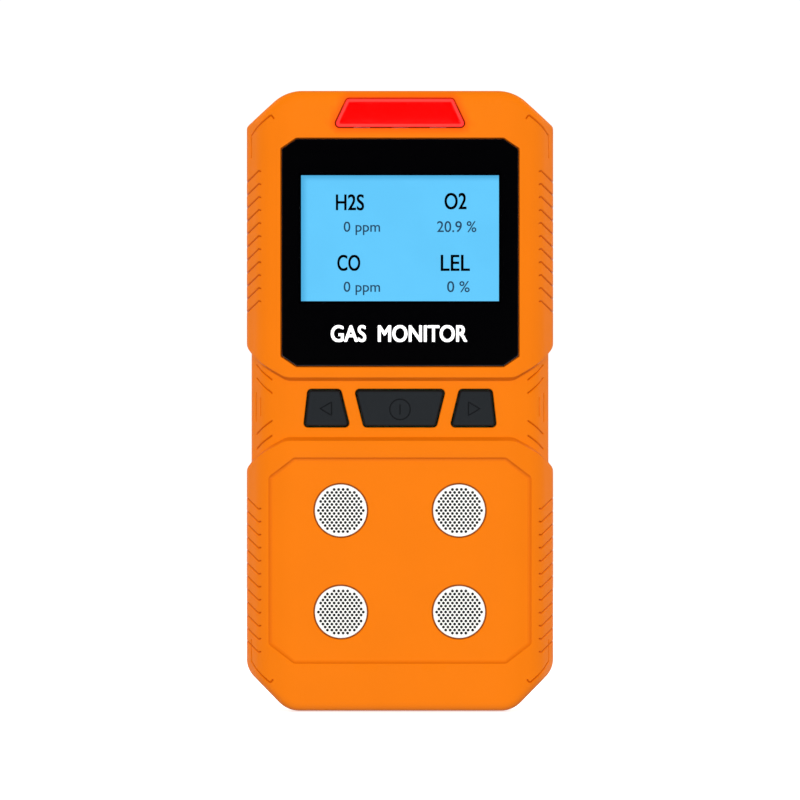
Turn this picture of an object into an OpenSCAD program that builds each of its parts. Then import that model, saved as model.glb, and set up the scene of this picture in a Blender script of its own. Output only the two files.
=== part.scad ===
// Portable four-gas detector: a hand-held case with a display, three keys, four gas sensors,
// a sprung belt clip on the back and a charging port in the bottom.
// The origin is the centre of the bottom face. +Z is up and the front faces -Y.

/* [Case] */
// Height of the case
case_h = 130; // [128:1:160]
// Width of the case across its bumpers
case_w = 64.4; // [64:0.2:80]
// Depth of the case without the belt clip
case_d = 31; // [31:0.5:38]
// Wall thickness at the recessed waist
wall = 2; // [1.8:0.1:2.4]
// How far the waist lies below the two bumpers
waist_in = 1; // [0.6:0.1:1.4]
// Depth position of the joint between front and rear cover
part_y = 2; // [0:0.5:3]
// Height of the lower bumper at its middle
lower_h = 57; // [56:0.5:62]
// Height of the waist at its middle
waist_h = 13; // [12:0.5:16]
// Half width of the straight run of each bumper edge
step_flat = 24.4; // [20:0.2:26]
// How far each bumper edge slopes away towards the sides
step_drop = 4.8; // [3:0.1:6]
// Width of the chamfered top corners
top_chamfer_x = 8.3; // [6:0.1:10]
// Height of the chamfered top corners
top_chamfer_z = 7.5; // [6:0.1:9]
// Width of the chamfered bottom corners
bottom_chamfer_x = 8.6; // [6:0.1:10]
// Height of the chamfered bottom corners
bottom_chamfer_z = 8.7; // [6:0.1:10]

/* [Display] */
// Width of the window
window_w = 49.6; // [46:0.2:52]
// Height of the window
window_h = 47.6; // [44:0.2:49]
// Distance from the case top to the window
window_top = 10.1; // [9:0.1:11]
// Thickness of the window
window_t = 1.4; // [1:0.1:1.6]
// Width of the lit area
lcd_w = 41.5; // [38:0.1:43]
// Height of the lit area
lcd_h = 26.4; // [24:0.1:30]
// Distance from the window top to the lit area
lcd_top = 7.6; // [6:0.1:9]
// Width of the alarm lens at its top edge
lens_top_w = 22.2; // [18:0.1:26]
// Width of the alarm lens at its bottom edge
lens_bottom_w = 27.8; // [22:0.1:32]
// Height of the alarm lens
lens_h = 5.9; // [4:0.1:6.4]
// Distance from the case top to the alarm lens
lens_top = 1.7; // [1.5:0.1:2.2]

/* [Keys] */
// Height of each key
key_h = 7.45; // [6:0.05:8]
// Width of the power key at its top edge
power_top_w = 18.5; // [16:0.1:19]
// Width of the power key at its bottom edge
power_bottom_w = 14.8; // [12:0.1:16]
// Width of each arrow key at its top edge
arrow_top_w = 6.45; // [5:0.05:8]
// Gap between neighbouring keys
key_gap = 3.4; // [3.2:0.1:4.4]
// How far a key stands out of the waist
key_proud = 0.6; // [0.5:0.1:1]
// Travel of a key
key_travel = 0.5; // [0.3:0.05:0.5]

/* [Sensors] */
// Diameter of a gas sensor
sensor_d = 20; // [16:0.2:20.4]
// Height of a gas sensor
sensor_len = 16.6; // [14:0.1:16.6]
// Distance between the sensor columns
sensor_dx = 24.8; // [22:0.1:28]
// Distance between the sensor rows
sensor_dz = 21.3; // [20.6:0.1:22]
// Height of the middle of the sensor group
sensor_z = 31.35; // [31:0.05:34]
// Diameter of a sensor grille
grille_d = 11; // [8:0.1:12]
// Diameter of one grille hole
grille_hole_d = 0.42; // [0.3:0.01:0.5]
// Distance between grille holes in one row
grille_pitch = 0.94; // [0.8:0.01:1.2]
// Distance between the rows of grille holes
grille_row = 0.63; // [0.6:0.01:0.9]

/* [Battery and drives] */
// Width of the battery cell
cell_w = 34; // [28:0.5:36]
// Height of the battery cell
cell_h = 50; // [40:0.5:50]
// Thickness of the battery cell
cell_t = 10; // [6:0.5:10]
// Diameter of the buzzer
buzzer_d = 12; // [9:0.5:12]
// Height of the buzzer
buzzer_h = 9; // [5:0.5:9]
// Diameter of the vibration motor
motor_d = 7; // [5:0.5:7]
// Length of the vibration motor
motor_len = 14; // [10:0.5:16]

/* [Belt clip] */
// Width of the clip plate between its ears
clip_w = 20; // [18:0.5:24]
// Length of the clip plate
clip_len = 49; // [44:0.5:52]
// Sheet thickness of the clip plate
clip_plate_t = 1; // [0.8:0.1:1.2]
// Sheet thickness of the clip lever
clip_lever_t = 1.2; // [1:0.1:1.4]
// Diameter of the hinge pin
clip_pin_d = 2.5; // [2:0.1:3]
// Space between plate and lever for a belt
clip_gap = 5.9; // [5:0.1:8]

/* [Fasteners] */
// Thread diameter of the case screws
case_screw_d = 2.5; // [2:0.1:3]
// Thread diameter of the board screws
board_screw_d = 2; // [1.6:0.1:2.2]
// Thread diameter of the clip screws
clip_screw_d = 3; // [2.5:0.1:3]

/* [Hidden] */
$fn = 48;

// Clearances
eps = 0.5;              // overrun of a cutter past the face it opens
fit = 0.2;              // gap round a piece that drops into a recess
key_clear = 0.3;        // gap round a moving key
loose = 0.1;            // gap between stacked pieces
pin_clear = 0.06;       // radial running clearance of a hinge pin or shaft
screw_clear = 0.05;     // radial gap between a screw and its insert
seal_clear = 0.05;      // gap round the seal in its groove

// Case levels
half_w = case_w / 2;
front_y = -case_d / 2;
back_y = case_d / 2;
skin_t = wall + waist_in;
inner_front = front_y + skin_t;
inner_back = back_y - skin_t;
upper_z = lower_h + waist_h;
waist_front = front_y + waist_in;
side_run = 2.1;         // height over which the side steps in to the waist
panel_in = 0.5;         // depth of the shallow panel round the sensors
panel_side = 4.5;       // margin from the case side to that panel
panel_low = 9.8;        // margin from the case bottom to that panel
panel_high = 3.8;       // margin from the lower bumper's edge to that panel
panel_chamfer = [5.4, 4.1];

// Case cross-section, measured in from the side and from the front or back face
front_flat_in = 8.7;
front_break = [2.9, 1.8];
front_side = 7;
rear_flat_in = 6.7;
rear_break = [2.7, 1.5];
rear_side = 5.5;
edge_r = 1.6;           // rounding of the long edges across the top and bottom ends

// Seal in the joint between the covers
seal_out = 1.6;
seal_w = 0.8;
seal_h = 1;

// Window, mask and display stack, front to back
window_sunk = 0.2;
mask_t = 0.15;
window_back = front_y + window_sunk + window_t;
recess_floor = window_back + mask_t;
window_chamfer = [3.1, 2.1];
view_margin = 1;        // how far the opening behind the window clears the lit area
window_z1 = case_h - window_top;
window_z0 = window_z1 - window_h;
lcd_z1 = window_z1 - lcd_top;
lcd_z0 = lcd_z1 - lcd_h;
glass_margin = 1.8;
glass_t = 2.2;
light_t = 2.6;
frame_wall = 0.6;
frame_back = 0.6;       // how far the metal frame starts behind the glass front
glass_y = inner_front + fit;
light_y = glass_y + glass_t;
board_y = light_y + light_t;              // front face of the display board
board_t = 1.6;
board_back = board_y + board_t;

// Keys and switches
key_z = lower_h + waist_h / 2 - 0.05;
key_top = key_z + key_h / 2;
key_low = key_z - key_h / 2;
key_front = waist_front - key_proud;
key_r = 0.6;
flange_out = 0.6;
flange_t = 1;
flange_y = inner_front + loose;
arrow_slope = 0.85;     // how far an arrow key's outer edge leans out
arrow_in_top = power_top_w / 2 + key_gap;
arrow_in_low = power_bottom_w / 2 + key_gap;
arrow_out_top = arrow_in_top + arrow_top_w;
arrow_out_low = arrow_out_top + arrow_slope;
arrow_x = (arrow_in_low + arrow_out_low) / 2;
switch_w = 6;
plunger_r = 1.75;
plunger_proud = key_travel + 0.1;
switch_top = flange_y + flange_t + 0.3 + plunger_proud;
mat_margin = 1.4;

// Alarm lens
lens_z1 = case_h - lens_top;
lens_z0 = lens_z1 - lens_h;
lens_proud = 0.5;
lens_flange = 1.2;
lens_flange_t = 1;
lens_r = 0.8;

// Sensors, front to back
grille_t = 0.8;
filter_t = 0.3;
grille_sunk = 0.1;
panel_y = front_y + panel_in;
grille_y = panel_y + grille_sunk;
filter_y = grille_y + grille_t;
ledge_y = filter_y + filter_t;
ledge_w = 1.2;
gasket_t = 0.8;
gasket_w = 2.6;
sensor_y = inner_front + gasket_t;
sensor_back = sensor_y + sensor_len;
socket_h = 3;
pin_r = 0.75;
pin_len = 2.8;
pin_circle = 6.75;
sensor_board_y = sensor_back + loose + socket_h;
sensor_board_back = sensor_board_y + board_t;
sensor_board_z0 = skin_t + 0.6;
sensor_board_z1 = lower_h - 2;
// Centre of each sensor in X and Z: top left, top right, bottom left, bottom right
SENSORS = [for (row = [1, -1]) for (side = [-1, 1])
    [side * sensor_dx / 2, sensor_z + row * sensor_dz / 2]];

// Case screws, inserts and their bosses
case_screw_r = case_screw_d / 2;
insert_wall = 0.65;
insert_len = 5;
boss_wall = 1.1;
head_r = case_screw_r + 1;
head_h = 1.8;
counterbore_r = head_r + 0.35;
head_seat = back_y - 6;
rear_boss_r = counterbore_r + 1;
boss_in = skin_t + rear_boss_r + fit;   // from the case side to a boss centre
boss_from_top = 12;
boss_from_bottom = 12;
CASE_SCREWS = [for (side = [-1, 1]) for (z = [boss_from_bottom, case_h - boss_from_top])
    [side * (half_w - boss_in), z]];
boss_gap = 0.2;         // between the end of a rear boss and its front boss
boss_end = part_y - 1;
front_boss_r = case_screw_r + insert_wall + boss_wall;

// Posts that hold the two boards
board_screw_r = board_screw_d / 2;
post_wall = 1;
post_r = board_screw_r + post_wall;
board_screw_len = 5;
board_head_r = 1.8;
board_head_h = 1.2;
DISPLAY_POSTS = concat(
    [for (side = [-1, 1]) [side * (half_w - 8.2), upper_z + 4]],
    [for (side = [-1, 1]) [side * (lens_bottom_w / 2 + 5.6), lens_z0 - 0.9]]);
SENSOR_POSTS = concat(
    [for (side = [-1, 1]) [side * (sensor_dx / 2 + sensor_d / 2 + 3.6), sensor_z]],
    [for (side = [-1, 1]) [side * sensor_dx / 2, sensor_board_z0 + 2.7]]);
board_in = 6.2;         // from the case side to a board's edge
board_low = lower_h - 1;
board_high = case_h - skin_t - 1.5;
board_chamfer = 9.5;    // clears the case screw bosses at the corners

// Battery, buzzer and motor
cell_y = inner_back - 1.5 - cell_t;
cell_x = 7.2;
cell_z = upper_z - 8;
pad_w = 5;
buzzer_x = -17.6;
buzzer_z = case_h - 24;
buzzer_top = board_back + buzzer_h;
seal_ring_t = 0.6;
duct_wall = 1;
duct_r = buzzer_d / 2 + 0.6;
duct_y = buzzer_top + seal_ring_t;
sound_hole_r = 0.6;
motor_x = -19.5;
motor_z = upper_z + 3;  // lower end of the motor can
boot_t = 0.6;
motor_y = inner_back - boot_t - motor_d / 2 - loose;
shaft_r = 0.5;
weight_len = 4.5;
weight_gap = 0.8;

// Charging port
port_x = 0;
usb_w = 8.94;
usb_t = 3.26;
usb_len = 7.35;
usb_wall = 0.3;
usb_y = sensor_board_y - usb_t / 2;
pocket_depth = 1.6;
pocket_w = 6.4;
pocket_x0 = port_x - 7.5;
flap_t = 1.2;
flap_z = 0.25;
flap_x1 = port_x + 7.9;  // edge of the flap at its bending web
web_len = 1.2;
web_t = 0.5;
anchor_len = 2.2;
pocket_x1 = flap_x1 + web_len + anchor_len + fit;

// Belt clip
clip_top = case_h - 9;
clip_low = clip_top - clip_len;
plate_y = back_y + clip_plate_t;
pivot_z = clip_top - 15;
pivot_y = plate_y + 4.9;
pin_r_clip = clip_pin_d / 2;
ear_t = 1.2;
ear_gap = 0.4;
ear_out = clip_w / 2;
lever_half = ear_out - ear_gap;
ear_reach = 3.1;
lever_inner_y = plate_y + clip_gap;
lever_y = lever_inner_y + clip_lever_t / 2;
tab_y = back_y + 13.5;
CLIP_SCREWS = [clip_low + 8.5, clip_top - 7];
clip_screw_r = clip_screw_d / 2;
clip_head_r = 2.75;
clip_head_h = 1.2;
clip_insert_len = 3.6;
clip_pad_t = 0.8;
spring_wire_r = 0.45;
spring_coil_r = pin_r_clip + spring_wire_r + 0.35;
spring_turns = 4;
spring_gap = 0.2;

// ---------------------------------------------------------------- outline helpers

function unit(v) = v / norm(v);
function left_of(v) = [-v.y, v.x];
function mirrored(half) = concat(half, [for (i = [len(half) - 1:-1:0]) [-half[i].x, half[i].y]]);

// One corner of a polygon, rounded to radius r with n chords
function corner(before, p, after, r, n) =
    let (u = unit(before - p), v = unit(after - p), half = acos(max(-1, min(1, u * v))) / 2)
    r < 0.01 || half > 89.9 ? [p] :
    let (c = p + unit(u + v) * r / sin(half), s = p + u * r / tan(half) - c,
         turn = (left_of(s) * (p + v * r / tan(half) - c) > 0 ? 1 : -1) * (180 - 2 * half),
         start = atan2(s.y, s.x))
    [for (i = [0:n]) c + r * [cos(start + turn * i / n), sin(start + turn * i / n)]];

// A closed polygon with its own radius at each corner
function rounded(pts, radii, n = 5) =
    let (last = len(pts) - 1)
    [for (i = [0:last]) each corner(pts[i == 0 ? last : i - 1], pts[i], pts[i == last ? 0 : i + 1],
        is_list(radii) ? radii[i] : radii, n)];

// A counter-clockwise polygon with every edge moved in by d
function inset(pts, d) =
    let (last = len(pts) - 1)
    [for (i = [0:last])
        let (a = left_of(unit(pts[i] - pts[i == 0 ? last : i - 1])),
             b = left_of(unit(pts[i == last ? 0 : i + 1] - pts[i])))
        pts[i] + d * (a + b) / (1 + a * b)];

// An open path with its inner corners rounded to r
function bent(path, r, n = 5) =
    let (last = len(path) - 1)
    [path[0], for (i = [1:last - 1]) each corner(path[i - 1], path[i], path[i + 1], r, n), path[last]];

// A strip of thickness t along an open path
function strip(path, t) =
    let (last = len(path) - 1,
         side = [for (i = [0:last])
            let (a = left_of(unit(path[max(i, 1)] - path[max(i, 1) - 1])),
                 b = left_of(unit(path[min(i, last - 1) + 1] - path[min(i, last - 1)])))
            (a + b) / (1 + a * b) * t / 2])
    concat([for (i = [0:last]) path[i] - side[i]], [for (i = [last:-1:0]) path[i] + side[i]]);

// ---------------------------------------------------------------- solid helpers

// Extrudes an X-Z outline along Y from y0 to y1
module slab(pts, y0, y1) {
    translate([0, y1, 0]) rotate([90, 0, 0]) linear_extrude(y1 - y0) polygon(pts);
}

// Extrudes a Y-Z outline along X, centred, over width w
module channel(pts, w) {
    rotate([90, 0, 90]) translate([0, 0, -w / 2]) linear_extrude(w) polygon(pts);
}

// A cylinder along Y
module rod(at, y0, y1, r) {
    translate([at[0], y1, at[1]]) rotate([90, 0, 0]) cylinder(r = r, h = y1 - y0);
}

// A cylinder along X, centred
module axle(y, z, w, r) {
    translate([-w / 2, y, z]) rotate([0, 90, 0]) cylinder(r = r, h = w);
}

// A block from its lowest to its highest corner
module block(lo, hi) {
    translate(lo) cube(hi - lo);
}

// A round tube swept along a path in space, with flat ends
module sweep(path, r, sides = 8) {
    last = len(path) - 1;
    function direction(i) = unit(path[min(i + 1, last)] - path[max(i - 1, 0)]);
    function carried(i, v) = let (d = direction(i)) unit(v - d * (v * d));
    function frames(i, v) = i > last ? [] : let (w = carried(i, v)) concat([w], frames(i + 1, w));
    up = abs(direction(0).z) < 0.9 ? [0, 0, 1] : [1, 0, 0];
    side = frames(0, up);
    points = [for (i = [0:last]) for (k = [0:sides - 1])
        let (a = 360 * k / sides, d = direction(i), other = cross(d, side[i]))
        path[i] + r * (cos(a) * side[i] + sin(a) * other)];
    faces = concat(
        [[for (k = [0:sides - 1]) k]],
        [for (i = [0:last - 1]) for (k = [0:sides - 1])
            let (n = (k + 1) % sides)
            [i * sides + k, (i + 1) * sides + k, (i + 1) * sides + n, i * sides + n]],
        [[for (k = [sides - 1:-1:0]) last * sides + k]]);
    polyhedron(points, faces, convexity = 6);
}

// ---------------------------------------------------------------- case shape

// Case outline without the waist, from the front, moved in by d
function case_outline(d) = inset(mirrored([
    [half_w - bottom_chamfer_x, 0], [half_w, bottom_chamfer_z],
    [half_w, case_h - top_chamfer_z], [half_w - top_chamfer_x, case_h]]), d);

function case_radii(d) = let (half = [6, 5, 1.2, 9]) [for (r = mirrored([for (v = half) [0, v]]))
    max(0.6, r.y - d)];

// Case cross-section from above, moved in by d
function case_section(d) =
    let (half = [
            [half_w - front_flat_in, front_y], [half_w - front_break.x, front_y + front_break.y],
            [half_w, front_y + front_side], [half_w, back_y - rear_side],
            [half_w - rear_break.x, back_y - rear_break.y], [half_w - rear_flat_in, back_y]],
         radii = [14, 6, 4, 3, 4, 6])
    rounded(inset(mirrored(half), d),
        [for (r = mirrored([for (v = radii) [0, v]])) max(0.6, r.y - d)], 4);

// The waist seen from the front, between the two bumpers
function waist_zone() = mirrored([
    [step_flat, lower_h], [half_w - waist_in, lower_h - step_drop],
    [half_w + eps, lower_h - step_drop - side_run * (1 + eps / waist_in)],
    [half_w + eps, upper_z + step_drop + side_run * (1 + eps / waist_in)],
    [half_w - waist_in, upper_z + step_drop], [step_flat, upper_z]]);

function sensor_panel() =
    let (x = half_w - panel_side, z0 = panel_low, z1 = lower_h - panel_high, c = panel_chamfer)
    mirrored([[x - c.x, z0], [x, z0 + c.y], [x, z1 - c.y], [x - c.x, z1]]);

module column(d) {
    translate([0, 0, -eps]) linear_extrude(case_h + 2 * eps) polygon(case_section(d));
}

// The case seen from the side: its four long edges are rounded
function case_profile() = rounded([[front_y, 0], [back_y, 0], [back_y, case_h], [front_y, case_h]],
    edge_r, 6);

module case_solid() {
    difference() {
        intersection() {
            column(0);
            slab(rounded(case_outline(0), case_radii(0)), front_y - eps, back_y + eps);
            channel(case_profile(), case_w + 2 * eps);
        }
        difference() {
            slab(waist_zone(), front_y - eps, back_y + eps);
            column(waist_in);
        }
        difference() {
            slab(sensor_panel(), front_y - eps, front_y + front_side);
            column(panel_in);
        }
    }
}

module case_cavity() {
    intersection() {
        column(skin_t);
        slab(rounded(case_outline(skin_t), case_radii(skin_t)), front_y, back_y);
    }
}

// The band between two insets of the case outline, over a span of Y
module rim(d0, d1, y0, y1) {
    difference() {
        slab(rounded(case_outline(d0), case_radii(d0)), y0, y1);
        slab(rounded(case_outline(d1), case_radii(d1)), y0 - eps, y1 + eps);
    }
}

// ---------------------------------------------------------------- outlines of what opens the front

function octagon(w, z0, z1, c, grow = 0) = inset(mirrored([
    [w / 2 - c.x, z0], [w / 2, z0 + c.y], [w / 2, z1 - c.y], [w / 2 - c.x, z1]]), -grow);

function lens_outline(grow = 0) = rounded(inset(mirrored([
    [lens_bottom_w / 2, lens_z0], [lens_top_w / 2, lens_z1]]), -grow), lens_r);

function power_outline(grow = 0) = rounded(inset(mirrored([
    [power_bottom_w / 2, key_low], [power_top_w / 2, key_top]]), -grow), key_r);

// side is -1 for the left arrow key and 1 for the right one
function arrow_outline(side, grow = 0) =
    let (right = [[arrow_in_low, key_low], [arrow_out_low, key_low],
            [arrow_out_top, key_top], [arrow_in_top, key_top]])
    rounded(inset(side > 0 ? right : [for (i = [3:-1:0]) [-right[i].x, right[i].y]], -grow), key_r);

function key_outlines(grow) = [arrow_outline(-1, grow), power_outline(grow), arrow_outline(1, grow)];

// ---------------------------------------------------------------- covers

module front_openings() {
    slab(octagon(window_w, window_z0, window_z1, window_chamfer, fit), front_y - eps, recess_floor);
    block([-lcd_w / 2 - view_margin, front_y, lcd_z0 - view_margin],
        [lcd_w / 2 + view_margin, inner_front + eps, lcd_z1 + view_margin]);
    slab(lens_outline(fit), front_y - eps, inner_front + loose);
    for (o = key_outlines(key_clear)) slab(o, front_y - eps, inner_front + eps);
    for (s = SENSORS) {
        rod(s, front_y - eps, ledge_y, grille_d / 2 + fit);
        rod(s, ledge_y - eps, inner_front + eps, grille_d / 2 - ledge_w);
    }
}

// Screw bosses and board posts, and then the holes in them
module front_bosses() {
    for (s = CASE_SCREWS) rod(s, inner_front - eps, boss_end, front_boss_r);
    for (p = DISPLAY_POSTS) rod(p, inner_front - eps, board_y, post_r);
    for (p = SENSOR_POSTS) rod(p, inner_front - eps, sensor_board_y, post_r);
}

module front_boss_holes() {
    for (s = CASE_SCREWS) {
        rod(s, boss_end - insert_len, boss_end + eps, case_screw_r + insert_wall);
        rod(s, boss_end - insert_len - 1, boss_end, case_screw_r + screw_clear);
    }
    for (p = DISPLAY_POSTS) rod(p, board_y - board_screw_len, board_y + eps,
        board_screw_r + screw_clear);
    for (p = SENSOR_POSTS)
        rod(p, sensor_board_y - board_screw_len, sensor_board_y + eps, board_screw_r + screw_clear);
}

module front_cover() color("darkorange") difference() {
    union() {
        difference() {
            case_solid();
            case_cavity();
            block([-case_w, part_y, -eps], [case_w, back_y + eps, case_h + eps]);
        }
        front_bosses();
    }
    front_openings();
    front_boss_holes();
    rim(seal_out - seal_clear, seal_out + seal_w + seal_clear, part_y - seal_h, part_y + eps);
}

module rear_bosses() {
    for (s = CASE_SCREWS) rod(s, boss_end + boss_gap, back_y - skin_t + eps, rear_boss_r);
    for (z = CLIP_SCREWS) rod([0, z], inner_back - clip_pad_t, inner_back + eps, clip_head_r + 1.2);
    difference() {
        rod([buzzer_x, buzzer_z], duct_y, inner_back + eps, duct_r + duct_wall);
        rod([buzzer_x, buzzer_z], duct_y - eps, inner_back + 2 * eps, duct_r);
    }
}

module rear_openings() {
    for (s = CASE_SCREWS) {
        rod(s, part_y - 3, back_y + eps, case_screw_r + 0.2);
        rod(s, head_seat, back_y + eps, counterbore_r);
    }
    for (z = CLIP_SCREWS) rod([0, z], back_y - clip_insert_len, back_y + eps,
        clip_screw_r + insert_wall);
    slab(label_outline(0.1), back_y - label_t - 0.1, back_y + eps);
    for (a = [0:60:300])
        rod([buzzer_x + 2.6 * cos(a), buzzer_z + 2.6 * sin(a)], inner_back - eps, back_y + eps,
            sound_hole_r);
    rod([buzzer_x, buzzer_z], inner_back - eps, back_y + eps, sound_hole_r);
    block([port_x - usb_w / 2 - fit, usb_y - usb_t / 2 - fit, -eps],
        [port_x + usb_w / 2 + fit, usb_y + usb_t / 2 + fit, skin_t + eps]);
    block([pocket_x0, usb_y - pocket_w / 2, -eps], [pocket_x1, usb_y + pocket_w / 2, pocket_depth]);
}

module rear_cover() color("darkorange") difference() {
    union() {
        difference() {
            case_solid();
            case_cavity();
            block([-case_w, front_y - eps, -eps], [case_w, part_y, case_h + eps]);
        }
        rear_bosses();
    }
    rear_openings();
}

module case_seal() color("dimgray") rim(seal_out, seal_out + seal_w, part_y - seal_h, part_y);

// ---------------------------------------------------------------- front face pieces

module alarm_lens() color("red") {
    slab(lens_outline(), front_y - lens_proud, inner_front + loose);
    intersection() {
        slab(lens_outline(lens_flange), inner_front, inner_front + lens_flange_t);
        block([-case_w, front_y, 0], [case_w, back_y, case_h - skin_t - loose]);
    }
}

module display_window() color("lightsteelblue", 0.4)
    slab(octagon(window_w, window_z0, window_z1, window_chamfer), front_y + window_sunk, window_back);

module window_mask() color("black") difference() {
    slab(octagon(window_w, window_z0, window_z1, window_chamfer), window_back, recess_floor);
    block([-lcd_w / 2, window_back - eps, lcd_z0], [lcd_w / 2, recess_floor + eps, lcd_z1]);
}

module lcd_panel() color("deepskyblue")
    block([-lcd_w / 2 - glass_margin, glass_y, lcd_z0 - glass_margin],
        [lcd_w / 2 + glass_margin, glass_y + glass_t, lcd_z1 + glass_margin]);

module lcd_backlight() color("white")
    block([-lcd_w / 2 - 1, light_y, lcd_z0 - 1], [lcd_w / 2 + 1, light_y + light_t, lcd_z1 + 1]);

module lcd_frame() color("silver") difference() {
    grow = glass_margin + loose;
    block([-lcd_w / 2 - grow - frame_wall, glass_y + frame_back, lcd_z0 - grow - frame_wall],
        [lcd_w / 2 + grow + frame_wall, board_y, lcd_z1 + grow + frame_wall]);
    block([-lcd_w / 2 - grow, glass_y, lcd_z0 - grow],
        [lcd_w / 2 + grow, board_y + eps, lcd_z1 + grow]);
}

module key(outline, flange, x) color("darkslategray") {
    slab(outline, key_front, flange_y + eps);
    slab(flange, flange_y, flange_y + flange_t);
    rod([x, key_z], flange_y + flange_t - eps, switch_top - plunger_proud, plunger_r - 0.25);
}

module left_key() key(arrow_outline(-1), arrow_outline(-1, flange_out), -arrow_x);
module power_key() key(power_outline(), power_outline(flange_out), 0);
module right_key() key(arrow_outline(1), arrow_outline(1, flange_out), arrow_x);

module keypad_mat() color("slategray") difference() {
    block([-arrow_out_low - mat_margin, inner_front, key_low - mat_margin],
        [arrow_out_low + mat_margin, flange_y + flange_t, key_top + mat_margin]);
    for (o = key_outlines(flange_out + key_clear)) slab(o, inner_front - eps,
        flange_y + flange_t + eps);
}

// ---------------------------------------------------------------- display board

module tact_switch(x) color("dimgray") difference() {
    block([x - switch_w / 2, switch_top, key_z - switch_w / 2],
        [x + switch_w / 2, board_y, key_z + switch_w / 2]);
    rod([x, key_z], switch_top - eps, switch_top + key_travel + 1, plunger_r + 0.1);
}

module plunger(x) color("ivory")
    rod([x, key_z], switch_top - plunger_proud, switch_top + 0.5, plunger_r);

module key_switches() for (x = [-arrow_x, 0, arrow_x]) tact_switch(x);
module left_plunger() plunger(-arrow_x);
module power_plunger() plunger(0);
module right_plunger() plunger(arrow_x);

module display_board() color("seagreen") difference() {
    slab(octagon(2 * (half_w - board_in), board_low, board_high, [board_chamfer, board_chamfer]),
        board_y, board_back);
    for (p = DISPLAY_POSTS) rod(p, board_y - eps, board_back + eps, board_screw_r + screw_clear);
    for (s = CASE_SCREWS) rod(s, board_y - eps, board_back + eps, front_boss_r + fit);
}

// A flat chip with its body on one face of a board; up is 1 on the back face, -1 on the front
module chip(at, w, h, t, y, up) {
    block([at.x - w / 2, up > 0 ? y : y - t, at.y - h / 2],
        [at.x + w / 2, up > 0 ? y + t : y, at.y + h / 2]);
}

module processor_chip() color("black") chip([10, lcd_z0 + 4], 10, 10, 1.4, board_back, 1);

module alarm_leds() color("white")
    for (x = [-8, 0, 8]) chip([x, lens_z0 + 0.6], 3.5, 2.8, 1.9, board_y, -1);

module buzzer() color("black") difference() {
    rod([buzzer_x, buzzer_z], board_back, buzzer_top, buzzer_d / 2);
    rod([buzzer_x, buzzer_z], buzzer_top - 1.5, buzzer_top + eps, 1.2);
}

module buzzer_seal() color("gray") difference() {
    rod([buzzer_x, buzzer_z], buzzer_top, duct_y, duct_r + duct_wall);
    rod([buzzer_x, buzzer_z], buzzer_top - eps, duct_y + eps, buzzer_d / 2 - 1.6);
}

module sound_membrane() color("whitesmoke")
    rod([buzzer_x, buzzer_z], inner_back - 0.3, inner_back, duct_r - fit);

// ---------------------------------------------------------------- battery and vibration motor

module battery_cell() color("royalblue")
    block([cell_x - cell_w / 2, cell_y, cell_z],
        [cell_x + cell_w / 2, cell_y + cell_t, cell_z + cell_h]);

module battery_pads() color("dimgray")
    for (side = [-1, 1]) {
        x = cell_x + side * (cell_w / 2 - pad_w / 2);
        block([x - pad_w / 2, cell_y + cell_t, cell_z], [x + pad_w / 2, inner_back, cell_z + cell_h]);
    }

plug_x = cell_x + cell_w / 2 - 6;
plug_z = cell_z - 3;
socket_t = 3.2;

// The two leads leave the cell's lower end, turn forward and enter the plug
function lead(x) =
    let (y0 = cell_y + cell_t / 2, z1 = plug_z, y1 = board_back + socket_t + 1, r = 2.2)
    concat([[x, y0, cell_z]],
        [for (a = [0:15:90]) [x, y0 - r + r * cos(a), z1 + r - r * sin(a)]],
        [[x, y1, z1]]);

module battery_leads() {
    color("red") sweep(lead(plug_x - 1), 0.6);
    color("black") sweep(lead(plug_x + 1), 0.6);
}

module battery_plug() color("ivory")
    block([plug_x - 2.6, board_back + socket_t - 0.8, plug_z - 1.4],
        [plug_x + 2.6, board_back + socket_t + 1, plug_z + 1.4]);

module battery_socket() color("white") difference() {
    block([plug_x - 3.4, board_back, plug_z - 2], [plug_x + 3.4, board_back + socket_t, plug_z + 2]);
    block([plug_x - 2.6, board_back + socket_t - 0.8, plug_z - 1.4],
        [plug_x + 2.6, board_back + socket_t + eps, plug_z + 1.4]);
}

module motor_can() color("silver")
    translate([motor_x, motor_y, motor_z]) difference() {
        cylinder(d = motor_d, h = motor_len);
        translate([0, 0, -eps]) cylinder(r = shaft_r + pin_clear, h = 4 + eps);
    }

module motor_shaft() color("lightgray")
    translate([motor_x, motor_y, motor_z - weight_gap - weight_len])
        cylinder(r = shaft_r, h = weight_len + weight_gap + 3);

module motor_weight() color("gray")
    translate([motor_x, motor_y, motor_z - weight_gap - weight_len]) difference() {
        intersection() {
            cylinder(d = motor_d - 0.6, h = weight_len);
            translate([-motor_d / 2, -motor_d / 2, -eps])
                cube([motor_d, motor_d / 2 + 1, weight_len + 2 * eps]);
        }
        translate([0, 0, -eps]) cylinder(r = shaft_r, h = weight_len + 2 * eps);
    }

module motor_boot() color("dimgray")
    translate([motor_x, motor_y, motor_z + 2]) difference() {
        union() {
            cylinder(d = motor_d + 2 * boot_t, h = motor_len - 4);
            translate([-motor_d / 2, 0, 0]) cube([motor_d, inner_back - motor_y, motor_len - 4]);
        }
        translate([0, 0, -eps]) cylinder(d = motor_d, h = motor_len);
    }

// The two thin leads leave the motor's upper end, turn forward and reach the board
function motor_lead(x) =
    let (z0 = motor_z + motor_len, r = 1.6, z1 = z0 + 3)
    concat([[x, motor_y, z0]],
        [for (a = [0:18:90]) [x, motor_y - r + r * cos(a), z1 - r + r * sin(a)]],
        [[x, board_back, z1]]);

module motor_leads() {
    color("red") sweep(motor_lead(motor_x - 1), 0.4);
    color("blue") sweep(motor_lead(motor_x + 1), 0.4);
}

// ---------------------------------------------------------------- sensors

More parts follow.
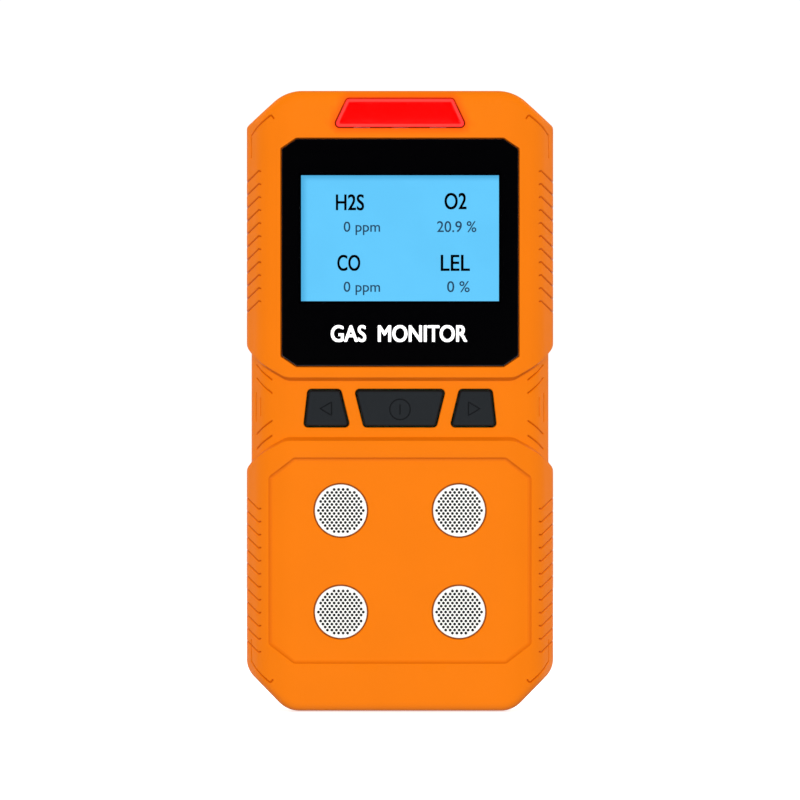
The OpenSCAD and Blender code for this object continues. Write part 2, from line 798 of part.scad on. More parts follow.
// A gas sensor: a can with a raised inlet ring, and its pins in the back
module gas_sensor(at, shade, pins) {
    color(shade) difference() {
        rod(at, sensor_y, sensor_back, sensor_d / 2);
        rod(at, sensor_y - eps, sensor_y + 0.6, grille_d / 2 - ledge_w);
    }
    color("gold") for (a = pins) rod(pin_at(at, a), sensor_back, sensor_back + pin_len, pin_r);
}

function pin_at(at, a) = at + pin_circle * [sin(a), cos(a)];
three_pins = [0, 120, 240];
two_pins = [0, 180];
SENSOR_PINS = [three_pins, two_pins, three_pins, three_pins];

module sensor_hydrogen_sulfide() gas_sensor(SENSORS[0], "khaki", SENSOR_PINS[0]);
module sensor_oxygen() gas_sensor(SENSORS[1], "lightsteelblue", SENSOR_PINS[1]);
module sensor_carbon_monoxide() gas_sensor(SENSORS[2], "lightcoral", SENSOR_PINS[2]);
module sensor_flammable() gas_sensor(SENSORS[3], "silver", SENSOR_PINS[3]);

module sensor_gaskets() color("dimgray") for (s = SENSORS) difference() {
    rod(s, inner_front, sensor_y, grille_d / 2 - ledge_w + gasket_w);
    rod(s, inner_front - eps, sensor_y + eps, grille_d / 2 - ledge_w);
}

module sensor_filters() color("white") for (s = SENSORS) rod(s, filter_y, ledge_y, grille_d / 2);

module sensor_sockets() color("darkslategray")
    for (i = [0:3]) for (a = SENSOR_PINS[i]) difference() {
        rod(pin_at(SENSORS[i], a), sensor_board_y - socket_h, sensor_board_y, 1.5);
        rod(pin_at(SENSORS[i], a), sensor_board_y - socket_h - eps, sensor_board_y - eps / 4,
            pin_r + screw_clear);
    }

// A disc with staggered rows of small holes inside a plain rim
module grille(at) {
    field_r = grille_d / 2 - 0.95;
    rows = floor(field_r / grille_row);
    columns = ceil(field_r / grille_pitch);
    translate([at[0], grille_y + grille_t, at[1]]) rotate([90, 0, 0])
    linear_extrude(grille_t) difference() {
        circle(d = grille_d);
        for (row = [-rows:rows]) for (k = [-columns:columns]) {
            p = [(k + (abs(row) % 2) / 2) * grille_pitch, row * grille_row];
            if (norm(p) < field_r) translate(p) circle(d = grille_hole_d, $fn = 16);
        }
    }
}

module sensor_grilles() color("whitesmoke") for (s = SENSORS) grille(s);

module sensor_board() color("seagreen") difference() {
    slab(octagon(2 * (half_w - board_in + 2), sensor_board_z0, sensor_board_z1,
        [board_chamfer, board_chamfer]),
        sensor_board_y, sensor_board_back);
    for (p = SENSOR_POSTS) rod(p, sensor_board_y - eps, sensor_board_back + eps,
        board_screw_r + screw_clear);
    for (s = CASE_SCREWS) rod(s, sensor_board_y - eps, sensor_board_back + eps, rear_boss_r + fit);
}

// ---------------------------------------------------------------- ribbon cable

ribbon_w = 12;
ribbon_t = 0.3;
connector_t = 2;
connector_h = 4;
ribbon_low_y = sensor_board_y - connector_t / 2;
ribbon_high_y = board_back + connector_t / 2;

module ribbon_cable() color("lightblue")
    channel(strip(bent([
        [ribbon_high_y, board_low + 1.5], [ribbon_high_y, board_low - 1.5],
        [ribbon_low_y, sensor_board_z1 + 3.5], [ribbon_low_y, sensor_board_z1 - 0.5]], 1.2),
        ribbon_t), ribbon_w);

module ribbon_connectors() color("ivory") {
    block([-ribbon_w / 2 - 1, board_back, board_low + 1.5],
        [ribbon_w / 2 + 1, board_back + connector_t, board_low + 1.5 + connector_h]);
    block([-ribbon_w / 2 - 1, sensor_board_y - connector_t, sensor_board_z1 - 0.5 - connector_h],
        [ribbon_w / 2 + 1, sensor_board_y, sensor_board_z1 - 0.5]);
}

// ---------------------------------------------------------------- charging port

module usb_socket() color("silver") difference() {
    z0 = pocket_depth;
    block([port_x - usb_w / 2, usb_y - usb_t / 2, z0],
        [port_x + usb_w / 2, usb_y + usb_t / 2, z0 + usb_len]);
    difference() {
        block([port_x - usb_w / 2 + usb_wall, usb_y - usb_t / 2 + usb_wall, z0 - eps],
            [port_x + usb_w / 2 - usb_wall, usb_y + usb_t / 2 - usb_wall, z0 + 6]);
        block([port_x - 3.4, usb_y - 0.35, z0 + 1.2], [port_x + 3.4, usb_y + 0.35, z0 + 6 + eps]);
    }
}

module port_flap() color("darkorange") {
    half = pocket_w / 2 - fit;
    block([pocket_x0 + fit, usb_y - half, flap_z], [flap_x1, usb_y + half, flap_z + flap_t]);
    block([port_x - 3.5, usb_y - 0.95, flap_z + flap_t - eps],
        [port_x + 3.5, usb_y + 0.95, flap_z + flap_t + 0.85]);
}

// The flap's soft tether: a block held in the pocket and a thin web that bends
module flap_tether() color("darkorange") {
    half = pocket_w / 2 - fit;
    block([flap_x1 + web_len, usb_y - half, flap_z], [pocket_x1 - fit, usb_y + half, pocket_depth]);
    block([flap_x1, usb_y - half, flap_z], [flap_x1 + web_len + eps, usb_y + half, flap_z + web_t]);
}

// ---------------------------------------------------------------- rating label

label_w = 38;
label_h = 30;
label_t = 0.2;
label_z = lower_h / 2;

function label_outline(grow = 0) = rounded(inset(mirrored([
    [label_w / 2, label_z - label_h / 2], [label_w / 2, label_z + label_h / 2]]), -grow), 2);

module rating_label() color("silver") slab(label_outline(), back_y - label_t - 0.1, back_y - 0.1);

// ---------------------------------------------------------------- fasteners

module screw(at, head_y, tip_y, thread_r, top_r, top_h, hex_r) difference() {
    union() {
        rod(at, tip_y, head_y + eps / 2, thread_r);
        rod(at, head_y, head_y + top_h, top_r);
    }
    translate([at[0], head_y + top_h + eps, at[1]]) rotate([90, 0, 0]) cylinder(r = hex_r,
        h = top_h / 2 + eps, $fn = 6);
}

module case_screws() color("silver")
    for (s = CASE_SCREWS) screw(s, head_seat, boss_end - insert_len + 0.5, case_screw_r, head_r,
        head_h, 0.9);

module board_screws() color("silver") {
    for (p = DISPLAY_POSTS) screw(p, board_back, board_y - board_screw_len + 0.5, board_screw_r,
        board_head_r, board_head_h, 0.7);
    for (p = SENSOR_POSTS)
        screw(p, sensor_board_back, sensor_board_y - board_screw_len + 0.5, board_screw_r,
            board_head_r, board_head_h, 0.7);
}

module clip_screws() color("silver")
    for (z = CLIP_SCREWS) screw([0, z], plate_y, back_y - clip_insert_len + 0.3, clip_screw_r,
        clip_head_r, clip_head_h, 1.1);

module insert(at, y0, y1, r) difference() {
    rod(at, y0, y1, r + insert_wall);
    rod(at, y0 - eps, y1 + eps, r + screw_clear);
}

module screw_inserts() color("goldenrod") {
    for (s = CASE_SCREWS) insert(s, boss_end - insert_len, boss_end, case_screw_r);
    for (z = CLIP_SCREWS) insert([0, z], back_y - clip_insert_len, back_y, clip_screw_r);
}

// ---------------------------------------------------------------- belt clip

module clip_plate() color("silver") difference() {
    union() {
        slab(octagon(2 * (ear_out + ear_t), clip_low, clip_top, [3, 3]), back_y, plate_y);
        for (side = [-1, 1]) translate([side * (ear_out + ear_t / 2), 0, 0])
            channel(rounded([[back_y, pivot_z - 4.5], [pivot_y + 2.8, pivot_z - 2.6],
                [pivot_y + 2.8, pivot_z + 2.6],
                [back_y, pivot_z + 4.5]], [0, 2, 2, 0]), ear_t);
    }
    for (z = CLIP_SCREWS) rod([0, z], back_y - eps, plate_y + eps, clip_screw_r + 0.2);
    axle(pivot_y, pivot_z, 2 * (ear_out + ear_t) + 2 * eps, pin_r_clip);
}

module clip_lever() color("silver") {
    jaw_z = clip_low + 1.5;
    path = [[plate_y + clip_lever_t / 2 + 1.6, jaw_z - 1],
        [plate_y + clip_lever_t / 2 + 0.25, jaw_z + 1],
        [lever_y, jaw_z + 7.5], [lever_y, pivot_z - 9], [pivot_y + 4.2, pivot_z],
            [tab_y - clip_lever_t / 2, clip_top]];
    channel(strip(bent(path, 1.6), clip_lever_t), 2 * lever_half);
    for (side = [-1, 1]) difference() {
        translate([side * (lever_half - ear_t / 2), 0, 0])
            channel(rounded([[pivot_y - ear_reach, pivot_z - 2], [lever_y, pivot_z - 9],
                [pivot_y + 4.2, pivot_z],
                [pivot_y + 4.4, pivot_z + 3], [pivot_y - ear_reach, pivot_z + 2.5]],
                    [2, 0, 0, 0, 2]), ear_t);
        axle(pivot_y, pivot_z, 4 * lever_half, pin_r_clip + pin_clear);
    }
}

module clip_pin() color("lightgray") {
    head = 0.7;
    axle(pivot_y, pivot_z, 2 * (ear_out + ear_t + head), pin_r_clip);
    for (side = [-1, 1]) translate([side * (ear_out + ear_t + head / 2), 0, 0])
        axle(pivot_y, pivot_z, head, pin_r_clip + 0.6);
}

// Two coils round the pin, each with one leg on the plate and one against the lever
module clip_spring() color("dimgray") {
    pitch = 2 * spring_wire_r + spring_gap;
    turn = 20;
    start = -115;
    total = spring_turns * 360 + 150;
    for (side = [-1, 1]) {
        coil = [for (a = [0:turn:total])
            [side * (1.4 + pitch * a / 360), pivot_y + spring_coil_r * cos(start + a),
                pivot_z + spring_coil_r * sin(start + a)]];
        first = coil[0];
        last = coil[len(coil) - 1];
        foot = [first.x, plate_y + spring_wire_r + 0.1, pivot_z - 8];
        toe = [last.x, lever_y - clip_lever_t / 2 - spring_wire_r - 0.4, pivot_z - 11];
        sweep(concat([foot], coil, [toe]), spring_wire_r, 8);
    }
}

// ---------------------------------------------------------------- nodes

front_cover();
rear_cover();
case_seal();
alarm_lens();
display_window();
window_mask();
lcd_panel();
lcd_frame();
lcd_backlight();
keypad_mat();
left_key();
power_key();
right_key();
key_switches();
left_plunger();
power_plunger();
right_plunger();
display_board();
processor_chip();
alarm_leds();
buzzer();
buzzer_seal();
sound_membrane();
motor_can();
motor_shaft();
motor_weight();
motor_boot();
motor_leads();
battery_cell();
battery_pads();
battery_leads();
battery_plug();
battery_socket();
sensor_board();
sensor_hydrogen_sulfide();
sensor_oxygen();
sensor_carbon_monoxide();
sensor_flammable();
sensor_gaskets();
sensor_filters();
sensor_sockets();
sensor_grilles();
ribbon_cable();
ribbon_connectors();
usb_socket();
port_flap();
flap_tether();
rating_label();
case_screws();
screw_inserts();
board_screws();
clip_plate();
clip_lever();
clip_pin();
clip_spring();
clip_screws();
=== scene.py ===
# %% [markdown]
# # A pocket gas detector
# A safety instrument worn on a belt: two orange covers, a lit display, three keys, a red alarm
# lens, four gas inlets and a sprung clip. The CAD model gives every piece its place and size.
# Here each visible piece is made again with the edges, grooves and finish that a real one has,
# and each stays on the CAD body that moves it.

# %% Open the frame
import math
import bmesh
import bpy
import numpy as np
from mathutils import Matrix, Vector, kdtree
from mathutils.geometry import delaunay_2d_cdt


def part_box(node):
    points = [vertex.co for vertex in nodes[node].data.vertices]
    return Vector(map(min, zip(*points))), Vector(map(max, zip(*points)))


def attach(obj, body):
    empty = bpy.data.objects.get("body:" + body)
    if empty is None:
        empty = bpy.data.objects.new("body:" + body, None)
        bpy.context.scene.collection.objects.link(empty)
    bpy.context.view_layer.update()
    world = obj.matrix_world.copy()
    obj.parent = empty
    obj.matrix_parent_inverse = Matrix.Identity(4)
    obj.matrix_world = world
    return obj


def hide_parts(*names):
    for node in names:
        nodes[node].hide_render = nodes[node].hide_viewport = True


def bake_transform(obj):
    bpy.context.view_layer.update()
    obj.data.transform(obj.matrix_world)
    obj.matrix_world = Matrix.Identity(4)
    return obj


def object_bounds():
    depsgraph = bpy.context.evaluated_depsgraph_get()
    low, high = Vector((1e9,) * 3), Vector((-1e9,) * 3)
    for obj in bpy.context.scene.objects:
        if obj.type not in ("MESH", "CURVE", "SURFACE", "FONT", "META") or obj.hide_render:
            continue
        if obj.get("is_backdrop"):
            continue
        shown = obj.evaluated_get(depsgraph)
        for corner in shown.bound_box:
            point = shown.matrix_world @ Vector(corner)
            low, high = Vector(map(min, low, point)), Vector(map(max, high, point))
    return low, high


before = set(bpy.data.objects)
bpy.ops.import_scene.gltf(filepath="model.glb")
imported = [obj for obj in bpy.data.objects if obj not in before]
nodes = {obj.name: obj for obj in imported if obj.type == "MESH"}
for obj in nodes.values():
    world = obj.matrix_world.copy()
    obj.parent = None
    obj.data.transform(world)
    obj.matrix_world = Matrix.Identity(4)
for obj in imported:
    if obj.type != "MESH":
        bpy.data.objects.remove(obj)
cad_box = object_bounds()

# %% [markdown]
# ## Working in millimetres
# Blender counts in metres. Small moulded parts are easier to think about in millimetres, so all
# shapes are drawn in millimetres, and one number turns them to metres when a mesh is made.

# %% Millimetres and CAD sizes
MM = 0.001


def corners_of(node):
    """Lowest and highest corner of a CAD node, in millimetres."""
    low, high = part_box(node)
    return np.array(low) / MM, np.array(high) / MM


case_low, case_high = corners_of("front_cover")
rear_high = corners_of("rear_cover")[1]
HALF_W = case_high[0]
HEIGHT = case_high[2]
FRONT_Y = case_low[1]
BACK_Y = rear_high[1]
PART_Y = corners_of("case_seal")[1][1]
SKIN = 3.0
print("case", round(2 * HALF_W, 2), "x", round(BACK_Y - FRONT_Y, 2), "x", round(HEIGHT, 2), "mm")

# %% [markdown]
# ## Lines and corners
# A moulded part is drawn as corners joined by straight lines, with each corner rounded to its
# own radius. These helpers round the corners, cut long lines into short ones, and move a
# closed line in or out.

# %% Helpers for lines


def round_off(corners, radii, closed=True, chord=0.25):
    """Replaces each corner of a polygon or path by an arc of its radius."""
    out = []
    count = len(corners)
    for i, here in enumerate(corners):
        radius = radii if np.isscalar(radii) else radii[i]
        here = np.array(here, float)
        if radius < 0.01 or (not closed and i in (0, count - 1)):
            out.append(here)
            continue
        back = np.array(corners[i - 1], float) - here
        ahead = np.array(corners[(i + 1) % count], float) - here
        back /= np.linalg.norm(back)
        ahead /= np.linalg.norm(ahead)
        half = math.acos(max(-1, min(1, back @ ahead))) / 2
        if half > math.pi / 2 - 0.003:
            out.append(here)
            continue
        middle = back + ahead
        centre = here + middle / np.linalg.norm(middle) * radius / math.sin(half)
        start = here + back * radius / math.tan(half) - centre
        stop = here + ahead * radius / math.tan(half) - centre
        angle = math.atan2(start[1], start[0])
        turn = math.atan2(stop[1], stop[0]) - angle
        turn = (turn + math.pi) % (2 * math.pi) - math.pi
        steps = max(3, math.ceil(abs(turn) * radius / chord))
        for k in range(steps + 1):
            at = angle + turn * k / steps
            out.append(centre + radius * np.array([math.cos(at), math.sin(at)]))
    return np.array(out)


def cut_up(path, step, closed=False):
    """The same line with no piece longer than step."""
    points = [np.array(p, float) for p in path]
    if closed:
        points.append(points[0])
    out = []
    for a, b in zip(points, points[1:]):
        pieces = max(1, math.ceil(np.linalg.norm(b - a) / step))
        out.extend(a + (b - a) * k / pieces for k in range(pieces))
    if not closed:
        out.append(points[-1])
    return np.array(out)


def turns_left(loop):
    """Twice the area inside a closed line, positive when it runs counter-clockwise."""
    ahead = np.roll(loop, -1, axis=0)
    return float(np.sum(loop[:, 0] * ahead[:, 1] - ahead[:, 0] * loop[:, 1]))


def moved_in(loop, distance):
    """A closed line moved in by a distance, or out when it is negative."""
    before = loop - np.roll(loop, 1, axis=0)
    after = np.roll(loop, -1, axis=0) - loop
    before /= np.linalg.norm(before, axis=1)[:, None] + 1e-12
    after /= np.linalg.norm(after, axis=1)[:, None] + 1e-12
    left_before = np.column_stack([-before[:, 1], before[:, 0]])
    left_after = np.column_stack([-after[:, 1], after[:, 0]])
    shift = (left_before + left_after) / (1 + np.sum(left_before * left_after, axis=1))[:, None]
    return loop + (distance if turns_left(loop) > 0 else -distance) * shift


def both_sides(half):
    """A closed line from its right half, listed from the bottom to the top."""
    half = np.array(half, float)
    return np.vstack([half, half[::-1] * [-1, 1]])


def circle(x, z, radius, sides=48):
    """A closed round line."""
    turn = np.arange(sides) * 2 * math.pi / sides
    return np.column_stack([x + radius * np.cos(turn), z + radius * np.sin(turn)])


# %% [markdown]
# ## From a flat sheet to a solid
# Each moulded skin starts as a flat sheet of triangles. Its outline, its holes and every groove
# edge are kept as lines in the sheet, so a groove has a clean edge however fine it is. A
# displacement modifier on an even grid could do this too, but it needs millions of faces for
# the same edge. The sheet is then pushed to its real height and closed with a back and walls.

# %% Helpers for sheets


def distance_to(points, starts, stops):
    """Distance from each point to the nearest of many straight pieces."""
    best = np.full(len(points), 1e9)
    for a, b in zip(starts, stops):
        along = b - a
        share = np.clip((points - a) @ along / (along @ along + 1e-12), 0, 1)
        gap = points - a - share[:, None] * along
        best = np.minimum(best, np.einsum("ij,ij->i", gap, gap))
    return np.sqrt(best)


def is_inside(points, loop):
    """Which points lie inside a closed line."""
    x, y = points.T
    odd = np.zeros(len(points), bool)
    for (x0, y0), (x1, y1) in zip(loop, np.roll(loop, -1, axis=0)):
        if y0 != y1:
            odd ^= ((y0 > y) != (y1 > y)) & (x < (x1 - x0) * (y - y0) / (y1 - y0) + x0)
    return odd


def flat_sheet(outline, holes=(), lines=(), dots=(), gap=0.2):
    """Triangles that fill an outline around its holes, with every line kept as edges."""
    points = []
    edges = []
    drawn = [(outline, True)] + [(hole, True) for hole in holes] + list(lines)
    for path, closed in drawn:
        first = len(points)
        points.extend(path)
        count = len(path)
        pieces = count if closed else count - 1
        edges.extend((first + i, first + (i + 1) % count) for i in range(pieces))
    points = np.array(points, float)
    if len(dots):
        dots = np.array(dots, float)
        dots = dots[is_inside(dots, outline)]
        starts = points[[a for a, b in edges]]
        stops = points[[b for a, b in edges]]
        points = np.vstack([points, dots[distance_to(dots, starts, stops) > gap]])
    made = delaunay_2d_cdt([Vector(p) for p in points], edges, [], 0, 1e-5, False)
    flat = np.array([tuple(v) for v in made[0]])
    faces = np.array([tuple(f) for f in made[2]])
    middle = flat[faces].mean(axis=1)
    keep = is_inside(middle, outline)
    for hole in holes:
        keep &= ~is_inside(middle, hole)
    faces = faces[keep]
    used = np.unique(faces)
    number = np.full(len(flat), -1)
    number[used] = np.arange(len(used))
    return flat[used], number[faces]


def rims_of(faces):
    """The closed rims of a sheet, each as a list of its points in order."""
    edges = set()
    for a, b, c in faces.tolist():
        edges.update(((a, b), (b, c), (c, a)))
    ahead = {a: b for a, b in edges if (b, a) not in edges}
    rims = []
    while ahead:
        start, here = ahead.popitem()
        rim = [start]
        while here != start:
            rim.append(here)
            here = ahead.pop(here)
        rims.append(np.array(rim))
    return rims


# %% [markdown]
# ## Making the mesh
# A solid is closed: every edge has two faces. That lets it be printed or cut by another solid.
# Where many points of a sheet lie on one straight line, some faces have no area and are lost in a
# cut, so a mesh is mended: points on one spot are merged, and open edges are split to meet.
# Each point also carries a value from 0 on open surfaces to 1 in a groove. The finishes use it to
# paint shade into the colour: a deeper colour where less light gets in. The lens uses the same
# value for a painted highlight on its rim, and the window and the label use it to say where their
# print is.

# %% Helpers for solids
# Painted shade on the walls of the openings and at the parting line.
WALL_SHADE = 0.35


def close_seams(work, reach):
    """Drops faces without area, then splits each open edge where an open corner lies on it. A
    corner is on an edge within four reaches of it, and more than two from its ends."""
    flat = [face for face in work.faces
            if 2 * face.calc_area() < reach * MM * max(edge.calc_length() for edge in face.edges)]
    bmesh.ops.delete(work, geom=flat, context="FACES")
    rims = [edge for edge in work.edges if len(edge.link_faces) == 1]
    corners = list(dict.fromkeys(vert for edge in rims for vert in edge.verts))
    tree = kdtree.KDTree(len(corners))
    for place, vert in enumerate(corners):
        tree.insert(vert.co, place)
    tree.balance()
    spots = [vert.co.copy() for vert in corners]
    for edge in rims:
        start, stop = edge.verts
        origin, along = start.co.copy(), stop.co - start.co
        on_edge = []
        for _, place, _ in tree.find_range(origin + along / 2, along.length / 2):
            share = (spots[place] - origin).dot(along) / along.length_squared
            off_line = (spots[place] - origin - along * share).length
            from_ends = min(share, 1 - share) * along.length
            if off_line < 4 * reach * MM and from_ends > 2 * reach * MM:
                on_edge.append((share, place))
        rest = 1.0
        for share, place in sorted(on_edge, reverse=True):
            _, made = bmesh.utils.edge_split(edge, start, min(share / rest, 0.9999))
            made.co = spots[place]
            edge = next(e for e in made.link_edges if start in e.verts)
            rest = share
    bmesh.ops.remove_doubles(work, verts=work.verts, dist=reach * MM)


def mend(mesh, reach=0.0005):
    """Merges points within reach, drops faces without area, and counts the edges left open."""
    work = bmesh.new()
    work.from_mesh(mesh)
    bmesh.ops.remove_doubles(work, verts=work.verts, dist=reach * MM)
    bmesh.ops.dissolve_degenerate(work, dist=reach * MM, edges=work.edges)
    if not all(edge.is_manifold for edge in work.edges):
        close_seams(work, reach)
        close_seams(work, 2 * reach)
    work.verts.index_update()
    doubled = {}
    for face in work.faces:
        doubled.setdefault(frozenset(v.index for v in face.verts), []).append(face)
    extra = [face for same in doubled.values() if len(same) > 1 for face in same]
    bmesh.ops.delete(work, geom=extra, context="FACES")
    loose = [v for v in work.verts if not v.link_faces]
    bmesh.ops.delete(work, geom=loose, context="VERTS")
    bmesh.ops.recalc_face_normals(work, faces=work.faces)
    open_edges = sum(1 for edge in work.edges if not edge.is_manifold)
    work.to_mesh(mesh)
    work.free()
    return open_edges


def add_piece(name, points, faces, painted_light_and_print=None, sharp=32):
    """A Blender object from points in millimetres, with soft shading up to a sharp angle."""
    mesh = bpy.data.meshes.new(name)
    mesh.from_pydata((np.asarray(points, float) * MM).tolist(), [], faces)
    # Each point gets a value that the finishes read: painted shade on the covers, keys and inlet
    # discs, a painted highlight on the lens rim, and print on the window and the label.
    value = mesh.attributes.new("painted_light_and_print", "FLOAT", "POINT")
    if painted_light_and_print is not None:
        value.data.foreach_set("value", np.asarray(painted_light_and_print, np.float32))
    open_edges = mend(mesh)
    mesh.shade_smooth()
    mesh.set_sharp_from_angle(angle=math.radians(sharp))
    piece = bpy.data.objects.new(name, mesh)
    bpy.context.scene.collection.objects.link(piece)
    if open_edges:
        print(name, "has", open_edges, "open edges")
    return piece


def closed_sheet(name, front, back, faces, rings=None, painted_light_and_print=None, sharp=32):
    """A solid from two copies of one sheet, joined round each rim through rings of points."""
    points = [np.asarray(front, float), np.asarray(back, float)]
    shades = [np.zeros(len(front)) if painted_light_and_print is None else painted_light_and_print, np.zeros(len(back))]
    total = len(front) + len(back)
    solid = faces.tolist() + (faces[:, ::-1] + len(front)).tolist()
    for rim in rims_of(faces):
        levels = [rim]
        for ring in (rings(rim) if rings else []):
            points.append(ring)
            shades.append(np.full(len(rim), WALL_SHADE))
            levels.append(np.arange(len(rim)) + total)
            total += len(rim)
        levels.append(rim + len(front))
        for upper, lower in zip(levels, levels[1:]):
            for i in range(len(rim)):
                j = (i + 1) % len(rim)
                solid.append((int(upper[j]), int(upper[i]), int(lower[i]), int(lower[j])))
    return add_piece(name, np.vstack(points), solid, np.concatenate(shades), sharp)


def rounding(distance, radius):
    """How far a rounded edge lies below the face, at a distance from that edge."""
    inner = np.clip(radius - distance, 0, radius)
    return radius - np.sqrt(np.clip(radius * radius - inner * inner, 0, None))


def grid_dots(low, high, step):
    """Points on an even grid between two corners."""
    xs = np.arange(low[0] + step / 2, high[0], step)
    zs = np.arange(low[1] + step / 2, high[1], step)
    return np.array([(x, z) for x in xs for z in zs])


def loop_distance(points, loop):
    """Distance of each point from a closed line."""
    return distance_to(points, loop, np.roll(loop, -1, axis=0))


def relief(name, outline, face_y, back_y, drop, lines=(), holes=(), step=1.0, gap=0.2,
           painted_light_and_print=None, sharp=32):
    """A flat-backed piece whose front lies drop below its face level."""
    low = outline.min(axis=0)
    high = outline.max(axis=0)
    flat, faces = flat_sheet(outline, holes, lines, grid_dots(low, high, step), gap)
    out = -1 if face_y < back_y else 1
    front = np.column_stack([flat[:, 0], face_y - out * drop(flat), flat[:, 1]])
    back = np.column_stack([flat[:, 0], np.full(len(flat), back_y), flat[:, 1]])
    shade = painted_light_and_print(flat) if painted_light_and_print else None
    return closed_sheet(name, front, back, faces, None, shade, sharp)


def stands_for(piece, body, finish, slot, *cad_nodes):
    """Puts a piece on its body, in place of its CAD nodes, with its finish."""
    if not piece.data.materials:
        piece.data.materials.append(finish)
    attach(piece, body)
    if cad_nodes:
        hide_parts(*cad_nodes)
    print(piece.name, "on", body, len(piece.data.vertices), "points")
    return piece


# %% [markdown]
# ## Finishes: the tools
# Colours are given as screen colours and turned to the linear light values that Blender needs.
# Patterns are worked out from real sizes: a grain of 0.3 mm means 1 / 0.0003 repeats a metre.

# %% Helpers for finishes


def linear(code):
    """A screen colour such as FE831C as linear red, green, blue and a full alpha."""
    out = []
    for i in (0, 2, 4):
        c = int(code[i:i + 2], 16) / 255
        out.append(c / 12.92 if c <= 0.04045 else ((c + 0.055) / 1.055) ** 2.4)
    return (*out, 1.0)


def per_metre(size_mm):
    """The texture scale that gives a pattern of this size."""
    return 1 / (size_mm * MM)


def add_node(tree, kind, settings=None, links=None):
    """Adds one node, sets its properties and sockets, and links its inputs."""
    made = tree.nodes.new(kind)
    for key, value in (settings or {}).items():
        if isinstance(key, int) or key in made.inputs:
            made.inputs[key].default_value = value
        else:
            setattr(made, key, value)
    for key, (source, output) in (links or {}).items():
        tree.links.new(source.outputs[output], made.inputs[key])
    return made


def new_finish(name, **shader):
    """A material with its own shader, whose sockets hold the values that are the same all over."""
    finish = bpy.data.materials.new(name)
    finish.use_nodes = True
    tree = finish.node_tree
    body = tree.nodes["Principled BSDF"]
    for key, value in shader.items():
        body.inputs[key.replace("_", " ")].default_value = value
    place = add_node(tree, "ShaderNodeTexCoord")
    return finish, tree, body, place


def moulded(name, colour, shade_colour, roughness, grain_mm, grain_um, drift=0.04, **shader):
    """Moulded plastic or rubber: a fine tool texture, a slight drift of colour, and painted shade:
    a deeper colour in its hollows. grain_um is the height of the texture."""
    finish, tree, body, place = new_finish(name, Roughness=roughness, **shader)
    slow = add_node(tree, "ShaderNodeTexNoise", {"Scale": per_metre(14), "Detail": 3.0},
                    {"Vector": (place, "Object")})
    low = [c * (1 - drift) for c in linear(colour)[:3]] + [1]
    high = [min(1, c * (1 + drift)) for c in linear(colour)[:3]] + [1]
    tone = add_node(tree, "ShaderNodeMix", {"data_type": "RGBA", 6: low, 7: high},
                    {0: (slow, "Fac")})
    # Painted shade: the colour is mixed towards a darker shade colour by the value on the points.
    shade = add_node(tree, "ShaderNodeAttribute", {"attribute_name": "painted_light_and_print"})
    mixed = add_node(tree, "ShaderNodeMix", {"data_type": "RGBA", 7: linear(shade_colour)},
                     {0: (shade, "Fac"), 6: (tone, 2)})
    tree.links.new(mixed.outputs[2], body.inputs["Base Color"])
    grain = add_node(tree, "ShaderNodeTexNoise",
                     {"Scale": per_metre(grain_mm), "Detail": 2.0, "Roughness": 0.6},
                     {"Vector": (place, "Object")})
    bump = add_node(tree, "ShaderNodeBump", {"Distance": grain_um * 1e-6, "Strength": 1.0},
                    {"Height": (grain, "Fac")})
    tree.links.new(bump.outputs["Normal"], body.inputs["Normal"])
    return finish


def metal(name, colour, roughness, line_mm, line_um, along, spread=0.08, **shader):
    """Metal with fine lines left by rolling, drawing or turning. along is the axis that the
    lines follow, and spread is how much the gloss varies between them."""
    finish, tree, body, place = new_finish(name, Metallic=1.0, **shader)
    body.inputs["Base Color"].default_value = linear(colour)
    stretch = [1.0, 1.0, 1.0]
    stretch["XYZ".index(along)] = 0.03
    laid = add_node(tree, "ShaderNodeMapping", {"Scale": stretch}, {"Vector": (place, "Object")})
    lines = add_node(tree, "ShaderNodeTexNoise", {"Scale": per_metre(line_mm), "Detail": 3.0},
                     {"Vector": (laid, "Vector")})
    gloss = add_node(tree, "ShaderNodeMapRange",
                     {"To Min": roughness - spread, "To Max": roughness + spread},
                     {"Value": (lines, "Fac")})
    tree.links.new(gloss.outputs["Result"], body.inputs["Roughness"])
    bump = add_node(tree, "ShaderNodeBump", {"Distance": line_um * 1e-6, "Strength": 1.0},
                    {"Height": (lines, "Fac")})
    tree.links.new(bump.outputs["Normal"], body.inputs["Normal"])
    return finish


# %% [markdown]
# ## Finishes of the case
# The covers are ABS/polycarbonate, coloured in the mass and moulded in a spark-eroded tool. The
# tool leaves a fine matt grain of about 0.1 mm, too fine to show at this size, so it is drawn at
# 0.4 mm. The eye sees a soft sheen on the bevels. The deeper orange in grooves and steps is painted
# shade. The flap over the charging port is a soft rubber of the same colour, duller and a little
# darker.

# %% Case finishes
abs_orange = moulded("spark_eroded_orange_abs", "E47301", "BE5200", 0.46, 0.4, 6,
                     Specular_IOR_Level=0.13)
tpe_orange = moulded("moulded_orange_rubber", "D66A04", "A84600", 0.62, 0.5, 10,
                     Specular_IOR_Level=0.2)
silicone_grey = moulded("moulded_charcoal_silicone", "1D2023", "0A0B0C", 0.58, 0.35, 8, 0.06,
                        Specular_IOR_Level=0.12)
pbt_white = moulded("moulded_white_pbt", "FBFAF6", "8F8A80", 0.5, 0.3, 4, 0.01,
                    Specular_IOR_Level=0.3)
print("case finishes made")

# %% [markdown]
# ## The case as a bent sheet
# Seen from above, the case is a soft box: a flat face, a rounded break, a bevel and a flat side.
# A cover is easiest to draw unrolled: `s` runs round that section from the middle of the face to
# the parting line, and z runs up. Grooves then wrap round the bevels without being stretched. A
# sculpted or subdivided box would give the same bulk but not the crisp steps of a tool.

# %% Case sections


